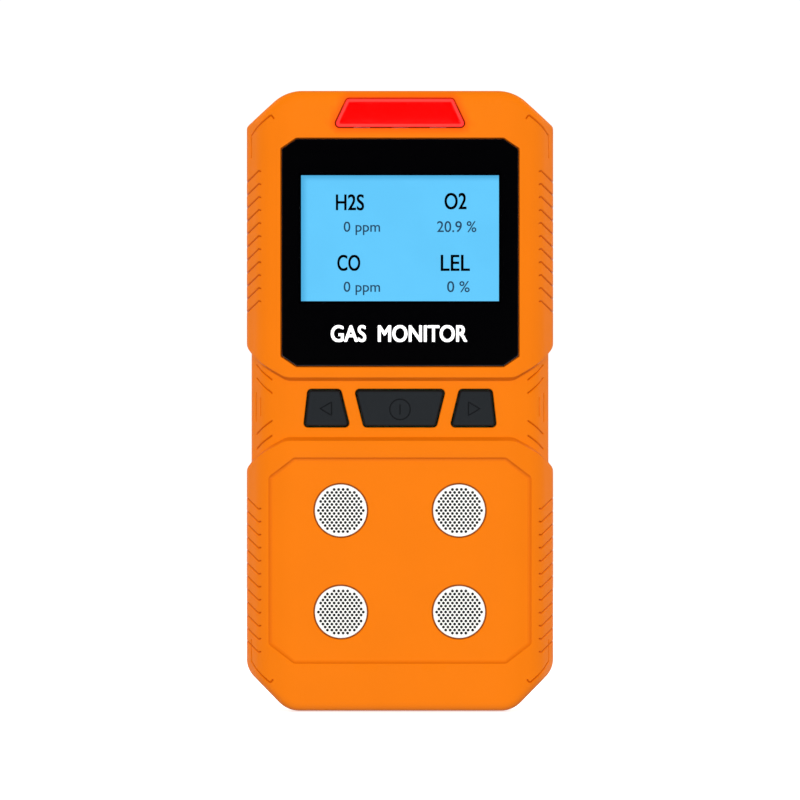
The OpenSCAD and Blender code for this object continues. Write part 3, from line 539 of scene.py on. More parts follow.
def section(corners, radii, facing):
    """A table of the section line: length along it, place and outward direction."""
    path = cut_up(round_off(corners, radii, closed=False, chord=0.08), 0.1)
    along = np.concatenate([[0], np.cumsum(np.linalg.norm(np.diff(path, axis=0), axis=1))])
    run = np.gradient(path, along, axis=0)
    run /= np.linalg.norm(run, axis=1)[:, None]
    out = np.column_stack([run[:, 1], -run[:, 0]]) * (1 if facing < 0 else -1)
    widening = np.concatenate([[True], np.diff(path[:, 0]) > 1e-6])
    return {"s": along, "x": path[:, 0], "y": path[:, 1], "out": out, "facing": facing,
            "rise_x": path[widening, 0], "rise_s": along[widening],
            "side": along[widening][-1], "end": along[-1]}


front_section = section(
    [(0, FRONT_Y), (HALF_W - 8.7, FRONT_Y), (HALF_W - 2.9, FRONT_Y + 1.8),
     (HALF_W, FRONT_Y + 7), (HALF_W, PART_Y)], [0, 14, 6, 4, 0], -1)
rear_section = section(
    [(0, BACK_Y), (HALF_W - 6.7, BACK_Y), (HALF_W - 2.7, BACK_Y - 1.5),
     (HALF_W, BACK_Y - 5.5), (HALF_W, PART_Y)], [0, 6, 4, 3, 0], 1)


def unroll(sec, path):
    """A line seen from the front, laid on the unrolled cover."""
    path = np.asarray(path, float)
    s = np.sign(path[:, 0]) * np.interp(np.abs(path[:, 0]), sec["rise_x"], sec["rise_s"])
    return np.column_stack([s, path[:, 1]])


def wrap(sec, flat, depth):
    """Points of the unrolled cover put back on the case, sunk by depth. Also their facing."""
    s = np.abs(flat[:, 0])
    out_x = np.interp(s, sec["s"], sec["out"][:, 0])
    out_y = np.interp(s, sec["s"], sec["out"][:, 1])
    x = np.interp(s, sec["s"], sec["x"]) - depth * out_x
    y = np.interp(s, sec["s"], sec["y"]) - depth * out_y
    return np.column_stack([np.sign(flat[:, 0]) * x, y, flat[:, 1]]), np.abs(out_y)


print("unrolled half widths", round(front_section["end"], 1), round(rear_section["end"], 1), "mm")

# %% [markdown]
# ## The case outline
# From the front the case is a tall box with its corners cut off. The bottom corners blend softly
# and the upper ones start with a crisp break at the side.

# %% Case outline
LOW_CUT = (8.6, 8.7)
HIGH_CUT = (8.3, 7.5)
case_corners = both_sides([(HALF_W - LOW_CUT[0], 0), (HALF_W, LOW_CUT[1]),
                           (HALF_W, HEIGHT - HIGH_CUT[1]), (HALF_W - HIGH_CUT[0], HEIGHT)])
CASE_RADII = np.array([6, 5, 1.2, 9, 9, 1.2, 5, 6])


def case_line(inward, step=0.5):
    """The case outline moved in by some millimetres."""
    radii = np.maximum(CASE_RADII - inward, 0.5)
    return cut_up(round_off(moved_in(case_corners, inward), radii), step, closed=True)


outline = case_line(0)


def unrolled_outline(sec):
    """The edge of the unrolled cover: the ends, the cut corners and the parting line."""
    out = []
    for here, ahead in zip(outline, np.roll(outline, -1, axis=0)):
        out.append(unroll(sec, [here])[0])
        side = np.sign(here[0])
        on_side = min(abs(here[0]), abs(ahead[0])) > HALF_W - 1e-6 and here[0] * ahead[0] > 0
        if on_side:
            out[-1] = np.array([side * sec["end"], here[1]])
            first = abs(abs(unroll(sec, [here])[0][0]) - sec["side"]) < 1e-3
            if first and (len(out) < 2 or abs(out[-2][0]) < sec["end"] - 1e-3):
                out.insert(len(out) - 1, unroll(sec, [here])[0])
        elif abs(here[0]) > HALF_W - 1e-6:
            out.insert(len(out) - 1, np.array([side * sec["end"], here[1]]))
    return cut_up(np.array(out), 1.0, closed=True)


def height_limits(loop):
    """Lowest and highest z of a case line, as tables over the distance from the middle."""
    right = loop[loop[:, 0] >= -1e-9]
    out = []
    for sign in (1, -1):
        part = right[(right[:, 1] - HEIGHT / 2) * sign < 0]
        part = part[np.lexsort((part[:, 1] * sign, np.round(part[:, 0], 6)))]
        _, first = np.unique(np.round(part[:, 0], 6), return_index=True)
        out.append(part[first])
    return out


outer_limits = height_limits(outline)
inner_limits = height_limits(case_line(SKIN))
SQUEEZE = 8.0


def inner_skin(sec, flat):
    """Where each point of the cover lies on its inside, one skin thickness in. Near each end the
    points move up or down to make room for the end wall, over the squeeze distance."""
    outer = wrap(sec, flat, 0)[0]
    inner = wrap(sec, flat, SKIN)[0]
    a = np.abs(outer[:, 0])
    b = np.abs(inner[:, 0])
    z = flat[:, 1].copy()
    for (out_line, in_line, sign) in ((outer_limits[0], inner_limits[0], 1),
                                      (outer_limits[1], inner_limits[1], -1)):
        edge = np.interp(a, out_line[:, 0], out_line[:, 1])
        stop = np.interp(b, in_line[:, 0], in_line[:, 1])
        far = edge + sign * SQUEEZE
        share = np.clip((far - flat[:, 1]) / (far - edge), 0, 1)
        z += np.where(share > 0, (stop - edge) * share, 0)
    inner[:, 2] = z
    return inner


print("case outline", len(outline), "points")

# %% [markdown]
# ## Steps, panels and grip grooves
# Between its two bumpers the case has a waist, 1 mm lower, with a sloped step at each edge. The
# sensors sit in a shallow panel. Short slanted grooves on the bevels give the glove a grip. Each
# of these is a depth that depends on the distance to a line, so each can be added to the rest.

# %% The waist
UPPER_EDGE = [(0, 70.0), (24.4, 70.0), (31.4, 75.2), (HALF_W, 77.1)]
UPPER_FOOT = [(0, 69.05), (24.1, 69.05), (31.2, 74.1), (HALF_W, 75.0)]
LOWER_EDGE = [(0, 56.5), (24.4, 56.5), (31.4, 51.7), (HALF_W, 50.1)]
LOWER_FOOT = [(0, 57.5), (24.1, 57.5), (31.2, 53.0), (HALF_W, 52.2)]
STEP_SHARES = [0, 0.1, 0.25, 0.75, 0.9, 1]
STEP_DEPTHS = [0, 0.02, 0.16, 0.84, 0.98, 1]
# Painted shade on the sloped steps, mixed into the colour.
STEP_SHADES = [0, 0.34, 0.46, 0.46, 0.34, 0]


def height_over(sec, corners):
    """A step line as z over the unrolled distance, out to the parting line."""
    path = unroll(sec, round_off(corners, [0, 4, 1, 0], closed=False))
    s, first = np.unique(path[:, 0], return_index=True)
    return np.append(s, sec["end"] + 1), np.append(path[first, 1], corners[-1][1])


def waist_share(sec, flat):
    """How far down each step a point is, from 0 on the bumper to 1 in the waist."""
    s = np.abs(flat[:, 0])
    shares = []
    for edge, foot in ((UPPER_EDGE, UPPER_FOOT), (LOWER_EDGE, LOWER_FOOT)):
        z0 = np.interp(s, *height_over(sec, edge))
        z1 = np.interp(s, *height_over(sec, foot))
        shares.append(np.clip((flat[:, 1] - z0) / (z1 - z0), 0, 1))
    return shares


def waist_lines(sec):
    """The lines along both steps, on the unrolled cover."""
    s = np.linspace(-sec["end"], sec["end"], 120)
    out = []
    for edge, foot in ((UPPER_EDGE, UPPER_FOOT), (LOWER_EDGE, LOWER_FOOT)):
        z0 = np.interp(np.abs(s), *height_over(sec, edge))
        z1 = np.interp(np.abs(s), *height_over(sec, foot))
        for share in STEP_SHARES:
            out.append((np.column_stack([s, z0 + (z1 - z0) * share]), False))
    return out


# %% Grip grooves
GROOVE_HALF = 0.25
GROOVE_DEPTH = 0.28
PITCH = 2.73


def mirrored_paths(paths):
    """Each line and its mirror image on the other half."""
    return [np.array(p, float) for p in paths] + [np.array(p, float) * [-1, 1] for p in paths]


def grip_paths(sec, inner_x, reach):
    """Slanted grooves from the bevel round on to the side, on the unrolled cover."""
    out = []
    for first, rise, count in ((110.9, 2.35, 11), (44.6, -2.35, 12)):
        for k in range(count):
            z = first - PITCH * k
            x = np.linspace(inner_x, HALF_W, 12)
            slant = np.column_stack([x, z + rise * (HALF_W - x) / (HALF_W - inner_x)])
            hook = [(inner_x - 0.45, z + rise * 0.94)]
            path = np.vstack([unroll(sec, hook), unroll(sec, slant)])
            out.append(np.vstack([path, [[sec["side"] + reach, z]]]))
    return mirrored_paths(out)


def waist_marks(sec):
    """The nested marks on the waist's bevels and the long marks at the cut corners."""
    seen = [[(31.0, 72.5), (27.2, 69.4)], [(31.0, 69.8), (27.2, 66.6)],
            [(31.1, 66.6), (31.1, 60.7)], [(30.1, 65.6), (30.1, 61.9)],
            [(31.0, 58.0), (27.2, 60.8)], [(31.0, 54.9), (27.2, 57.7)],
            [(31.25, 116.0), (31.25, 120.7), (27.1, 125.0), (26.5, 124.2)],
            [(31.25, 14.8), (31.25, 10.3), (27.3, 5.8), (26.7, 6.5)]]
    return mirrored_paths([unroll(sec, round_off(p, 0.3, closed=False)) for p in seen])


def ribbon(path, half):
    """A closed line round an open one, at half a width from it."""
    run = np.gradient(path, axis=0)
    run /= np.linalg.norm(run, axis=1)[:, None]
    left = np.column_stack([-run[:, 1], run[:, 0]]) * half
    tip = path[-1] + run[-1] * half
    tail = path[0] - run[0] * half
    return np.vstack([[tail], path - left, [tip], (path + left)[::-1]])


def groove_lines(paths):
    """Every line that shapes the grooves: the bottom, the half depth and the edge."""
    out = []
    for path in paths:
        path = cut_up(path, 0.7)
        out.append((path, False))
        out.append((ribbon(path, GROOVE_HALF), True))
        out.append((ribbon(path, GROOVE_HALF / 2), True))
    return out


def groove_share(paths, flat):
    """1 at the bottom of a groove and 0 at its edge."""
    starts = np.vstack([p[:-1] for p in paths])
    stops = np.vstack([p[1:] for p in paths])
    near = np.clip(distance_to(flat, starts, stops) / GROOVE_HALF, 0, 1)
    return 0.5 + 0.5 * np.cos(math.pi * near)


front_grip = grip_paths(front_section, 29.7, 4.5) + waist_marks(front_section)
rear_grip = grip_paths(rear_section, 29.9, 4.0)
print(len(front_grip) + len(rear_grip), "grooves")

# %% [markdown]
# ## Rounded ends and openings
# Where the face meets an end of the case, the edge is rounded by about 1.5 mm. Every opening has
# a small rounding of 0.2 mm, as a real tool has, which draws the thin line of light round a key.

# %% Ends and openings
END_RADIUS = 1.5
END_REACH = 9.6
OPENING_RADIUS = 0.22
ARC = [math.radians(a) for a in (18, 38, 62, 90)]


def end_lines(sec):
    """Lines that shape the rounding along the ends and the cut corners."""
    out = []
    for angle in ARC:
        loop = case_line(END_RADIUS * (1 - math.cos(angle)), 1.2)
        middle = abs(loop[:, 1] - HEIGHT / 2) < HEIGHT / 2 - END_REACH
        start = int(np.argmax(middle))
        loop = np.roll(loop, -start, axis=0)
        middle = np.roll(middle, -start)
        run = []
        for point, skip in zip(loop, middle):
            if skip:
                if len(run) > 1:
                    out.append((unroll(sec, run), False))
                run = []
            else:
                run.append(point)
        if len(run) > 1:
            out.append((unroll(sec, run), False))
    return out


def end_drop(seen):
    """How far the end rounding sinks a point, seen from the front."""
    ahead = np.roll(outline, -1, axis=0)
    slanted = np.abs(outline[:, 0] - ahead[:, 0]) > 1e-6
    return rounding(distance_to(seen, outline[slanted], ahead[slanted]), END_RADIUS)


def opening_lines(sec, loops):
    """Lines just outside each opening, for its rounded edge."""
    out = []
    for loop in loops:
        for angle in ARC[1:]:
            grown = moved_in(loop, -OPENING_RADIUS * (1 - math.cos(angle)) - 0.001)
            out.append((unroll(sec, grown), True))
    return out


def opening_drop(seen, loops):
    """How far the rounded edges of the openings sink a point."""
    drop = np.zeros(len(seen))
    for loop in loops:
        low = loop.min(axis=0) - 1
        high = loop.max(axis=0) + 1
        near = np.all((seen > low) & (seen < high), axis=1)
        if near.any():
            drop[near] = np.maximum(drop[near],
                                    rounding(loop_distance(seen[near], loop), OPENING_RADIUS))
    return drop


# %% [markdown]
# ## Making a cover
# The sheet is cut with all its lines, pushed to depth, wrapped round the section and closed: the
# ends run back to the parting line, where a small chamfer leaves the fine seam that two moulded
# covers always show.

# %% Cover maker
SEAM = 0.22
SEAM_Z = (9.9, HEIGHT - HIGH_CUT[1])
# The panel's rim: how far it sinks, and its painted shade, over the distance in from its edge.
PANEL_RUN = (0, 0.12, 0.32, 0.55, 0.95)
PANEL_SUNK = np.array([0, 0.1, 0.75, 1, 1])
PANEL_DARK = np.array([0, 1, 1, 0.7, 0])
BOSS_BLEND = 2


def cover_dots(sec):
    """Loose points of the sheet: close together on the bevels and wider apart on flat faces."""
    s = np.concatenate([np.arange(0.6, 20, 1.3), np.arange(20, sec["side"] + 0.6, 0.5),
                        np.arange(sec["side"] + 1.2, sec["end"], 1.2)])
    s = np.concatenate([-s[::-1], s])
    z = np.arange(0.8, HEIGHT, 1.25)
    return np.array([(a, b) for a in s for b in z])


def make_cover(name, sec, grip, openings, panels=(), bosses=()):
    """A closed cover. openings are (loop, walls), and panels are (loop, depth, shade)."""
    loops = [loop for loop, walls in openings]
    seam_s = [sec["end"] - SEAM * share for share in (0.25, 0.6, 1)]
    lines = waist_lines(sec) + groove_lines(grip) + end_lines(sec) + opening_lines(sec, loops)
    for side in (-1, 1):
        for s in seam_s:
            path = np.column_stack([np.full(90, side * s), np.linspace(*SEAM_Z, 90)])
            lines.append((path, False))
    for loop, sunk, dark in panels:
        for inward in PANEL_RUN:
            lines.append((unroll(sec, moved_in(loop, inward)), True))
    flat, faces = flat_sheet(unrolled_outline(sec), [unroll(sec, loop) for loop in loops], lines,
                             cover_dots(sec), 0.14)
    seen = wrap(sec, flat, 0)[0][:, [0, 2]]
    upper, lower = waist_share(sec, flat)
    depth = np.interp(upper, STEP_SHARES, STEP_DEPTHS) * np.interp(lower, STEP_SHARES, STEP_DEPTHS)
    # Painted shade: a darker colour on the steps, the panel rims, the grooves and the rounded lips
    # of the openings.
    shade = np.interp(upper, STEP_SHARES, STEP_SHADES) + np.interp(lower, STEP_SHARES, STEP_SHADES)
    for loop, sunk, dark in panels:
        inward = np.where(is_inside(seen, loop), loop_distance(seen, loop), 0)
        depth += np.interp(inward, PANEL_RUN, PANEL_SUNK * sunk)
        shade = np.maximum(shade, np.interp(inward, PANEL_RUN, PANEL_DARK * dark))
    groove = groove_share(grip, flat)
    depth += GROOVE_DEPTH * groove
    shade = np.maximum(shade, groove)
    depth += rounding(sec["end"] - np.abs(flat[:, 0]), SEAM)
    opening = opening_drop(seen, loops)
    shade = np.maximum(shade, np.clip(opening / OPENING_RADIUS * 1.6, 0, 1))
    front, facing = wrap(sec, flat, depth)
    front[:, 1] -= sec["facing"] * (end_drop(seen) * facing + opening)
    back = inner_skin(sec, flat)
    for x, z, hole_r, boss_r in bosses:
        away = back[:, [0, 2]] - [x, z]
        r = np.linalg.norm(away, axis=1)
        pushed = boss_r + (r - hole_r) * BOSS_BLEND / (boss_r + BOSS_BLEND - hole_r)
        near = r < boss_r + BOSS_BLEND
        grow = np.where(near, pushed / np.maximum(r, 1e-6), 1)
        back[:, [0, 2]] = np.array([x, z]) + away * grow[:, None]
    walls_of = {}
    for rim in rims_of(faces):
        if np.abs(flat[rim, 0]).max() < sec["end"] - 1:
            middle = seen[rim].mean(axis=0)
            gaps = [np.linalg.norm(loop.mean(axis=0) - middle) for loop in loops]
            levels = openings[int(np.argmin(gaps))][1](front[rim])
            back[rim] = levels[-1]
            walls_of[frozenset(rim.tolist())] = levels[:-1]

    def rings(rim):
        known = walls_of.get(frozenset(rim.tolist()))
        if known is not None:
            return known
        top = front[rim]
        at_seam = np.abs(flat[rim, 0]) > sec["end"] - 1e-3
        ledge = top.copy()
        ledge[~at_seam, 1] = PART_Y + sec["facing"] * SEAM
        inside = back[rim].copy()
        inside[:, 1] = PART_Y
        lip = top + (inside - top) * (SEAM / SKIN)
        lip[:, 1] = PART_Y
        lip[at_seam] = top[at_seam]
        return [ledge, lip, inside]

    return closed_sheet(name, front, back, faces, rings, shade, 30)


# %% [markdown]
# ## The front cover
# It has openings for the lens, the window, the keys and the four gas inlets. Behind the window and
# the inlets there is a ledge that the piece rests on.

# %% Openings of the front cover
LENS_FRONT = corners_of("alarm_lens")[0][1]
window_low, window_high = corners_of("display_window")
grille_low, grille_high = corners_of("sensor_grilles")
FIT = 0.2
KEY_FIT = 0.3
WINDOW_LEDGE = corners_of("window_mask")[1][1]
GRILLE_R = 5.5
INLET_R = 4.3
INLET_LEDGE = -13.8
GRILLES = [(x, z) for z in (grille_high[2] - GRILLE_R, grille_low[2] + GRILLE_R)
           for x in (grille_low[0] + GRILLE_R, grille_high[0] - GRILLE_R)]
LENS_BOTTOM = 13.9
LENS_TOP = 11.1
LENS_Z = (122.4, 128.3)
WINDOW_HALF = window_high[0]
WINDOW_Z = (window_low[2], window_high[2])
KEY_Z = (59.725, 67.175)
KEYS = {"left": [(-19.95, KEY_Z[0]), (-10.8, KEY_Z[0]), (-12.65, KEY_Z[1]), (-19.1, KEY_Z[1])],
        "power": [(-7.4, KEY_Z[0]), (7.4, KEY_Z[0]), (9.25, KEY_Z[1]), (-9.25, KEY_Z[1])],
        "right": [(10.8, KEY_Z[0]), (19.95, KEY_Z[0]), (19.1, KEY_Z[1]), (12.65, KEY_Z[1])]}


def octagon(half, z0, z1, cut_x, cut_z):
    """A rectangle with its four corners cut off."""
    return both_sides([(half - cut_x, z0), (half, z0 + cut_z),
                       (half, z1 - cut_z), (half - cut_x, z1)])


def lens_line(inward):
    """The alarm lens seen from the front, moved in."""
    corners = both_sides([(LENS_BOTTOM, LENS_Z[0]), (LENS_TOP, LENS_Z[1])])
    radius = max(0.3, 0.8 - inward)
    return cut_up(round_off(moved_in(corners, inward), radius, chord=0.15), 0.8, closed=True)


def window_line(inward):
    """The display window seen from the front, moved in."""
    corners = octagon(WINDOW_HALF, WINDOW_Z[0], WINDOW_Z[1], 3.1, 2.1)
    return cut_up(round_off(moved_in(corners, inward), 0.3, chord=0.15), 1.0, closed=True)


def key_line(which, inward):
    """A key seen from the front, moved in."""
    radius = max(0.25, 0.6 - inward)
    corners = moved_in(np.array(KEYS[which], float), inward)
    return cut_up(round_off(corners, radius, chord=0.12), 0.7, closed=True)


def straight(depth_y):
    """Walls straight through a cover to its inside."""
    def walls(rim):
        inner = rim.copy()
        inner[:, 1] = depth_y
        return [inner]
    return walls


def ledge(floor_y, inner_y, narrow):
    """Walls down to a ledge, in to a narrower hole, and on to the inside."""
    def walls(rim):
        floor = rim.copy()
        floor[:, 1] = floor_y
        edge = floor.copy()
        edge[:, [0, 2]] = narrow(floor[:, [0, 2]])
        inner = edge.copy()
        inner[:, 1] = inner_y
        return [floor, edge, inner]
    return walls


def toward(x, z, share):
    """Shrinks a ring of points towards a centre."""
    return lambda points: np.array([x, z]) + (points - [x, z]) * share


def into_box(low, high):
    """Moves points to the nearest place in a rectangle."""
    return lambda points: np.clip(points, low, high)


INNER_FRONT = FRONT_Y + SKIN
view = (np.array([-21.75, 84.9]), np.array([21.75, 113.3]))
front_openings = [(lens_line(-FIT), straight(INNER_FRONT)),
                  (window_line(-FIT), ledge(WINDOW_LEDGE, INNER_FRONT, into_box(*view)))]
for which in KEYS:
    front_openings.append((key_line(which, -KEY_FIT), straight(INNER_FRONT)))
for x, z in GRILLES:
    narrow = toward(x, z, INLET_R / (GRILLE_R + FIT))
    front_openings.append((circle(x, z, GRILLE_R + FIT, 72),
                           ledge(INLET_LEDGE, INNER_FRONT, narrow)))
print(len(front_openings), "openings in the front cover")

# %% The front cover
panel_line = cut_up(round_off(octagon(27.7, 9.8, 53.2, 5.4, 4.1), 1.2), 1.2, closed=True)
front_cover = make_cover("front_cover_moulding", front_section, front_grip, front_openings,
                         [(panel_line, 0.5, 0.42)])
stands_for(front_cover, "case", abs_orange, "orange_housing", "front_cover")

# %% [markdown]
# ## Painted glow of the lens in the plastic
# Orange plastic is slightly see-through. Round the lit lens some red light travels through it and
# comes out within about 1.8 mm. This glow is painted: a value on the cover's points says how near
# they are to the lens, and the finish mixes a redder orange in there.

# %% Painted red glow round the lens
GLOW_REACH = 1.8
GLOW_DEPTH = 2.5
spots = np.array([tuple(v.co) for v in front_cover.data.vertices]) / MM
reach = np.clip(loop_distance(spots[:, [0, 2]], lens_line(0)) / GLOW_REACH, 0, 1)
reach[spots[:, 1] > FRONT_Y + GLOW_DEPTH] = 1
near_lens = front_cover.data.attributes.new("lens_light", "FLOAT", "POINT")
near_lens.data.foreach_set("value", (1 - reach).astype(np.float32))
tree = abs_orange.node_tree
spread = add_node(tree, "ShaderNodeAttribute", {"attribute_name": "lens_light"})
plain = tree.nodes["Principled BSDF"].inputs["Base Color"].links[0].from_node
# Painted glow: a redder orange mixed in near the lens.
painted_lens_glow = add_node(tree, "ShaderNodeMix", {"data_type": "RGBA", 7: linear("E85602")},
                {0: (spread, "Fac"), 6: (plain, 2)})
tree.links.new(painted_lens_glow.outputs[2], tree.nodes["Principled BSDF"].inputs["Base Color"])

# %% [markdown]
# ## The rear cover
# The back of such a case is never seen in use, but it works hard: four screws in deep wells, the
# holes of the buzzer, a recess for the rating label, and the charging port in the bottom end. The
# port's pocket runs across the end wall, so it is cut with a boolean once the cover is closed.

# %% Openings of the rear cover
screw_low, screw_high = corners_of("case_screws")
label_low, label_high = corners_of("rating_label")
HEAD_R = 2.25
SCREW_X = screw_high[0] - HEAD_R
SCREW_Z = (screw_low[2] + HEAD_R, screw_high[2] - HEAD_R)
CLEAR_R = 1.45
WELL_R = 2.6
WELL_FLOOR = BACK_Y - 6
BOSS_R = 3.6
BOSS_END = PART_Y - 0.8
INNER_BACK = BACK_Y - SKIN
BUZZER = (-17.6, HEIGHT - 24)
SOUND_R = 0.6
SOUND_RING = 2.6


def screw_well(x, z):
    """Walls of a screw well: down to its floor, through it, and back up outside the boss."""
    def walls(rim):
        rings = []
        for share, y in ((1, WELL_FLOOR), (CLEAR_R / WELL_R, WELL_FLOOR),
                         (CLEAR_R / WELL_R, BOSS_END), (BOSS_R / WELL_R, BOSS_END),
                         (BOSS_R / WELL_R, INNER_BACK)):
            ring = rim.copy()
            ring[:, [0, 2]] = toward(x, z, share)(rim[:, [0, 2]])
            ring[:, 1] = y
            rings.append(ring)
        return rings
    return walls


wells = [(side * SCREW_X, z) for side in (-1, 1) for z in SCREW_Z]
rear_openings = [(circle(x, z, WELL_R, 56), screw_well(x, z)) for x, z in wells]
for turn in range(7):
    angle = math.radians(60 * turn)
    ring = SOUND_RING if turn < 6 else 0
    x = BUZZER[0] + ring * math.cos(angle)
    z = BUZZER[1] + ring * math.sin(angle)
    rear_openings.append((circle(x, z, SOUND_R, 24), straight(INNER_BACK)))

# %% The rear cover
MARGIN = 0.65
label_corners = both_sides([(label_high[0] + MARGIN, label_low[2] - MARGIN),
                            (label_high[0] + MARGIN, label_high[2] + MARGIN)])
label_frame = cut_up(round_off(label_corners, 2.5), 1.2, closed=True)
rear_cover = make_cover("rear_cover_moulding", rear_section, rear_grip, rear_openings,
                        [(label_frame, 0.3, 0.3)], [(x, z, WELL_R, BOSS_R) for x, z in wells])

# %% Helpers for cutting
FLAT_FACE = 12
CUT_REACH = 0.002


def prism(name, loop, axis, start, stop):
    """A closed bar: a flat outline pulled along an axis. The outline's two numbers are the other
    two axes in order."""
    loop = np.asarray(loop, float)
    count = len(loop)
    others = [i for i in range(3) if i != "XYZ".index(axis)]
    points = np.zeros((2 * count, 3))
    for k, level in enumerate((start, stop)):
        points[k * count:(k + 1) * count, others] = loop
        points[k * count:(k + 1) * count, "XYZ".index(axis)] = level
    faces = [tuple(range(count)), tuple(range(2 * count - 1, count - 1, -1))]
    for i in range(count):
        j = (i + 1) % count
        faces.append((i, i + count, j + count, j))
    return add_piece(name, points, faces)


def rounded_box(x0, x1, z0, z1, radius):
    """A rectangle with round corners."""
    corners = [(x0, z0), (x1, z0), (x1, z1), (x0, z1)]
    return round_off(corners, radius, chord=0.2) if radius else np.array(corners, float)


def combine(piece, tools, how):
    """Joins closed solids to a piece, or cuts them out of it, and removes them."""
    for tool in tools:
        step = piece.modifiers.new("solid", "BOOLEAN")
        step.operation = how
        step.solver = "EXACT"
        step.object = tool
    made = bpy.data.meshes.new_from_object(
        piece.evaluated_get(bpy.context.evaluated_depsgraph_get()))
    piece.modifiers.clear()
    piece.data = made
    for tool in tools:
        bpy.data.objects.remove(tool)
    open_edges = mend(made, CUT_REACH)
    if open_edges:
        print(piece.name, "has", open_edges, "open edges after a cut")
    return piece


def ease_edges(piece, width, segments=3, angle=35):
    """Rounds every edge of a solid piece by a width in millimetres. Faces larger than FLAT_FACE,
    in square millimetres, stay flat, so that the roundings don't bend their shading."""
    bevel = piece.modifiers.new("edges", "BEVEL")
    bevel.width = width * MM
    bevel.segments = segments
    bevel.limit_method = "ANGLE"
    bevel.angle_limit = math.radians(angle)
    bevel.use_clamp_overlap = True
    made = bpy.data.meshes.new_from_object(
        piece.evaluated_get(bpy.context.evaluated_depsgraph_get()))
    piece.modifiers.clear()
    piece.data = made
    mend(made, CUT_REACH)
    made.shade_smooth()
    made.set_sharp_from_angle(angle=math.radians(40))
    for face in made.polygons:
        if face.area > FLAT_FACE * MM * MM:
            face.use_smooth = False
    return piece


# %% The charging port's pocket
tether_low, tether_high = corners_of("flap_tether")
flap_low, flap_high = corners_of("port_flap")
socket_low, socket_high = corners_of("usb_socket")
PORT_Y = (socket_low[1] + socket_high[1]) / 2
SHAFT_HALF = (4.67, 1.83)
pocket = prism("pocket", rounded_box(flap_low[0] - FIT, tether_high[0] + FIT,
                                     flap_low[1] - FIT, flap_high[1] + FIT, 0.8), "Z", -1, 1.6)
shaft = prism("shaft", rounded_box(-SHAFT_HALF[0], SHAFT_HALF[0], PORT_Y - SHAFT_HALF[1],
                                   PORT_Y + SHAFT_HALF[1], 1.7), "Z", 1, 3.5)
combine(rear_cover, [pocket, shaft], "DIFFERENCE")
rear_cover.data.shade_smooth()
rear_cover.data.set_sharp_from_angle(angle=math.radians(30))
stands_for(rear_cover, "case", abs_orange, "orange_housing", "rear_cover")

# %% [markdown]
# ## The alarm lens
# The lens is injection-moulded red polycarbonate, polished in the tool, with lamps behind it that
# light it evenly. Its sloped rim catches the room's light, and this highlight is painted into its
# colour as a paler red than the flat middle.
# Clear plastic could be traced as real glass, but over lamps a coloured body with a little light
# of its own gives the same flat, lit red with far less noise.

# %% Alarm lens
LENS_PROFILE = ([0, 0.1, 0.3, 0.64, 0.8, 2.5], [0.55, 0.4, 0.2, 0.07, 0.04, 0])
LENS_RIM = ([0, 0.05, 0.52, 0.74], [0.75, 1, 1, 0])


def lens_drop(points):
    """The lens is crowned: a sloped rim and an almost flat middle."""
    return np.interp(loop_distance(points, lens_line(0)), *LENS_PROFILE)


def lens_rim(points):
    """1 on the sloped rim, where a painted highlight goes, and 0 on the flat middle."""
    return np.interp(loop_distance(points, lens_line(0)), *LENS_RIM)


lens = relief("alarm_lens_moulding", lens_line(0), LENS_FRONT, INNER_FRONT, lens_drop,
              [(lens_line(d), True) for d in (0.1, 0.3, 0.52, 0.74)], step=0.9, painted_light_and_print=lens_rim)

pc_red, tree, body, place = new_finish("polished_red_polycarbonate", Roughness=0.12, IOR=1.58,
                                       Specular_IOR_Level=0.05, Emission_Strength=0.35)
rim = add_node(tree, "ShaderNodeAttribute", {"attribute_name": "painted_light_and_print"})
# Painted highlight: the rim is mixed to a paler red, in its colour and its glow.
red = add_node(tree, "ShaderNodeMix",
               {"data_type": "RGBA", 6: linear("FF0000"), 7: linear("F03834")},
               {0: (rim, "Fac")})
tree.links.new(red.outputs[2], body.inputs["Base Color"])
tree.links.new(red.outputs[2], body.inputs["Emission Color"])
ripple = add_node(tree, "ShaderNodeTexNoise", {"Scale": per_metre(5)},
                  {"Vector": (place, "Object")})
flow = add_node(tree, "ShaderNodeBump", {"Distance": 0.00002}, {"Height": (ripple, "Fac")})
tree.links.new(flow.outputs["Normal"], body.inputs["Normal"])
stands_for(lens, "case", pc_red, "lens_red", "alarm_lens")

# %% [markdown]
# ## The window and the display
# The window is a flat sheet of hard-coated acrylic, tinted so that the black print behind it and
# the dark display frame look like one surface. Tint is a share of see-through here, because a
# flat sheet bends no light that the eye could notice. Round the display the sheet is printed black
# on its back, so it's solid there; a value on its points says where the print is. The display is a
# lit liquid crystal panel: it makes its own light, with a painted shadow of the frame along its
# left and top edges.

# %% Window
WINDOW_ROUND = 0.14
clear_edge = rounded_box(-21.2, 21.2, 85.4, 112.8, 0.3)


def back_print(points):
    """1 where the back of the window is printed black and 0 over the display."""
    return np.where(is_inside(points, moved_in(clear_edge, -0.01)), 0.0, 1.0)


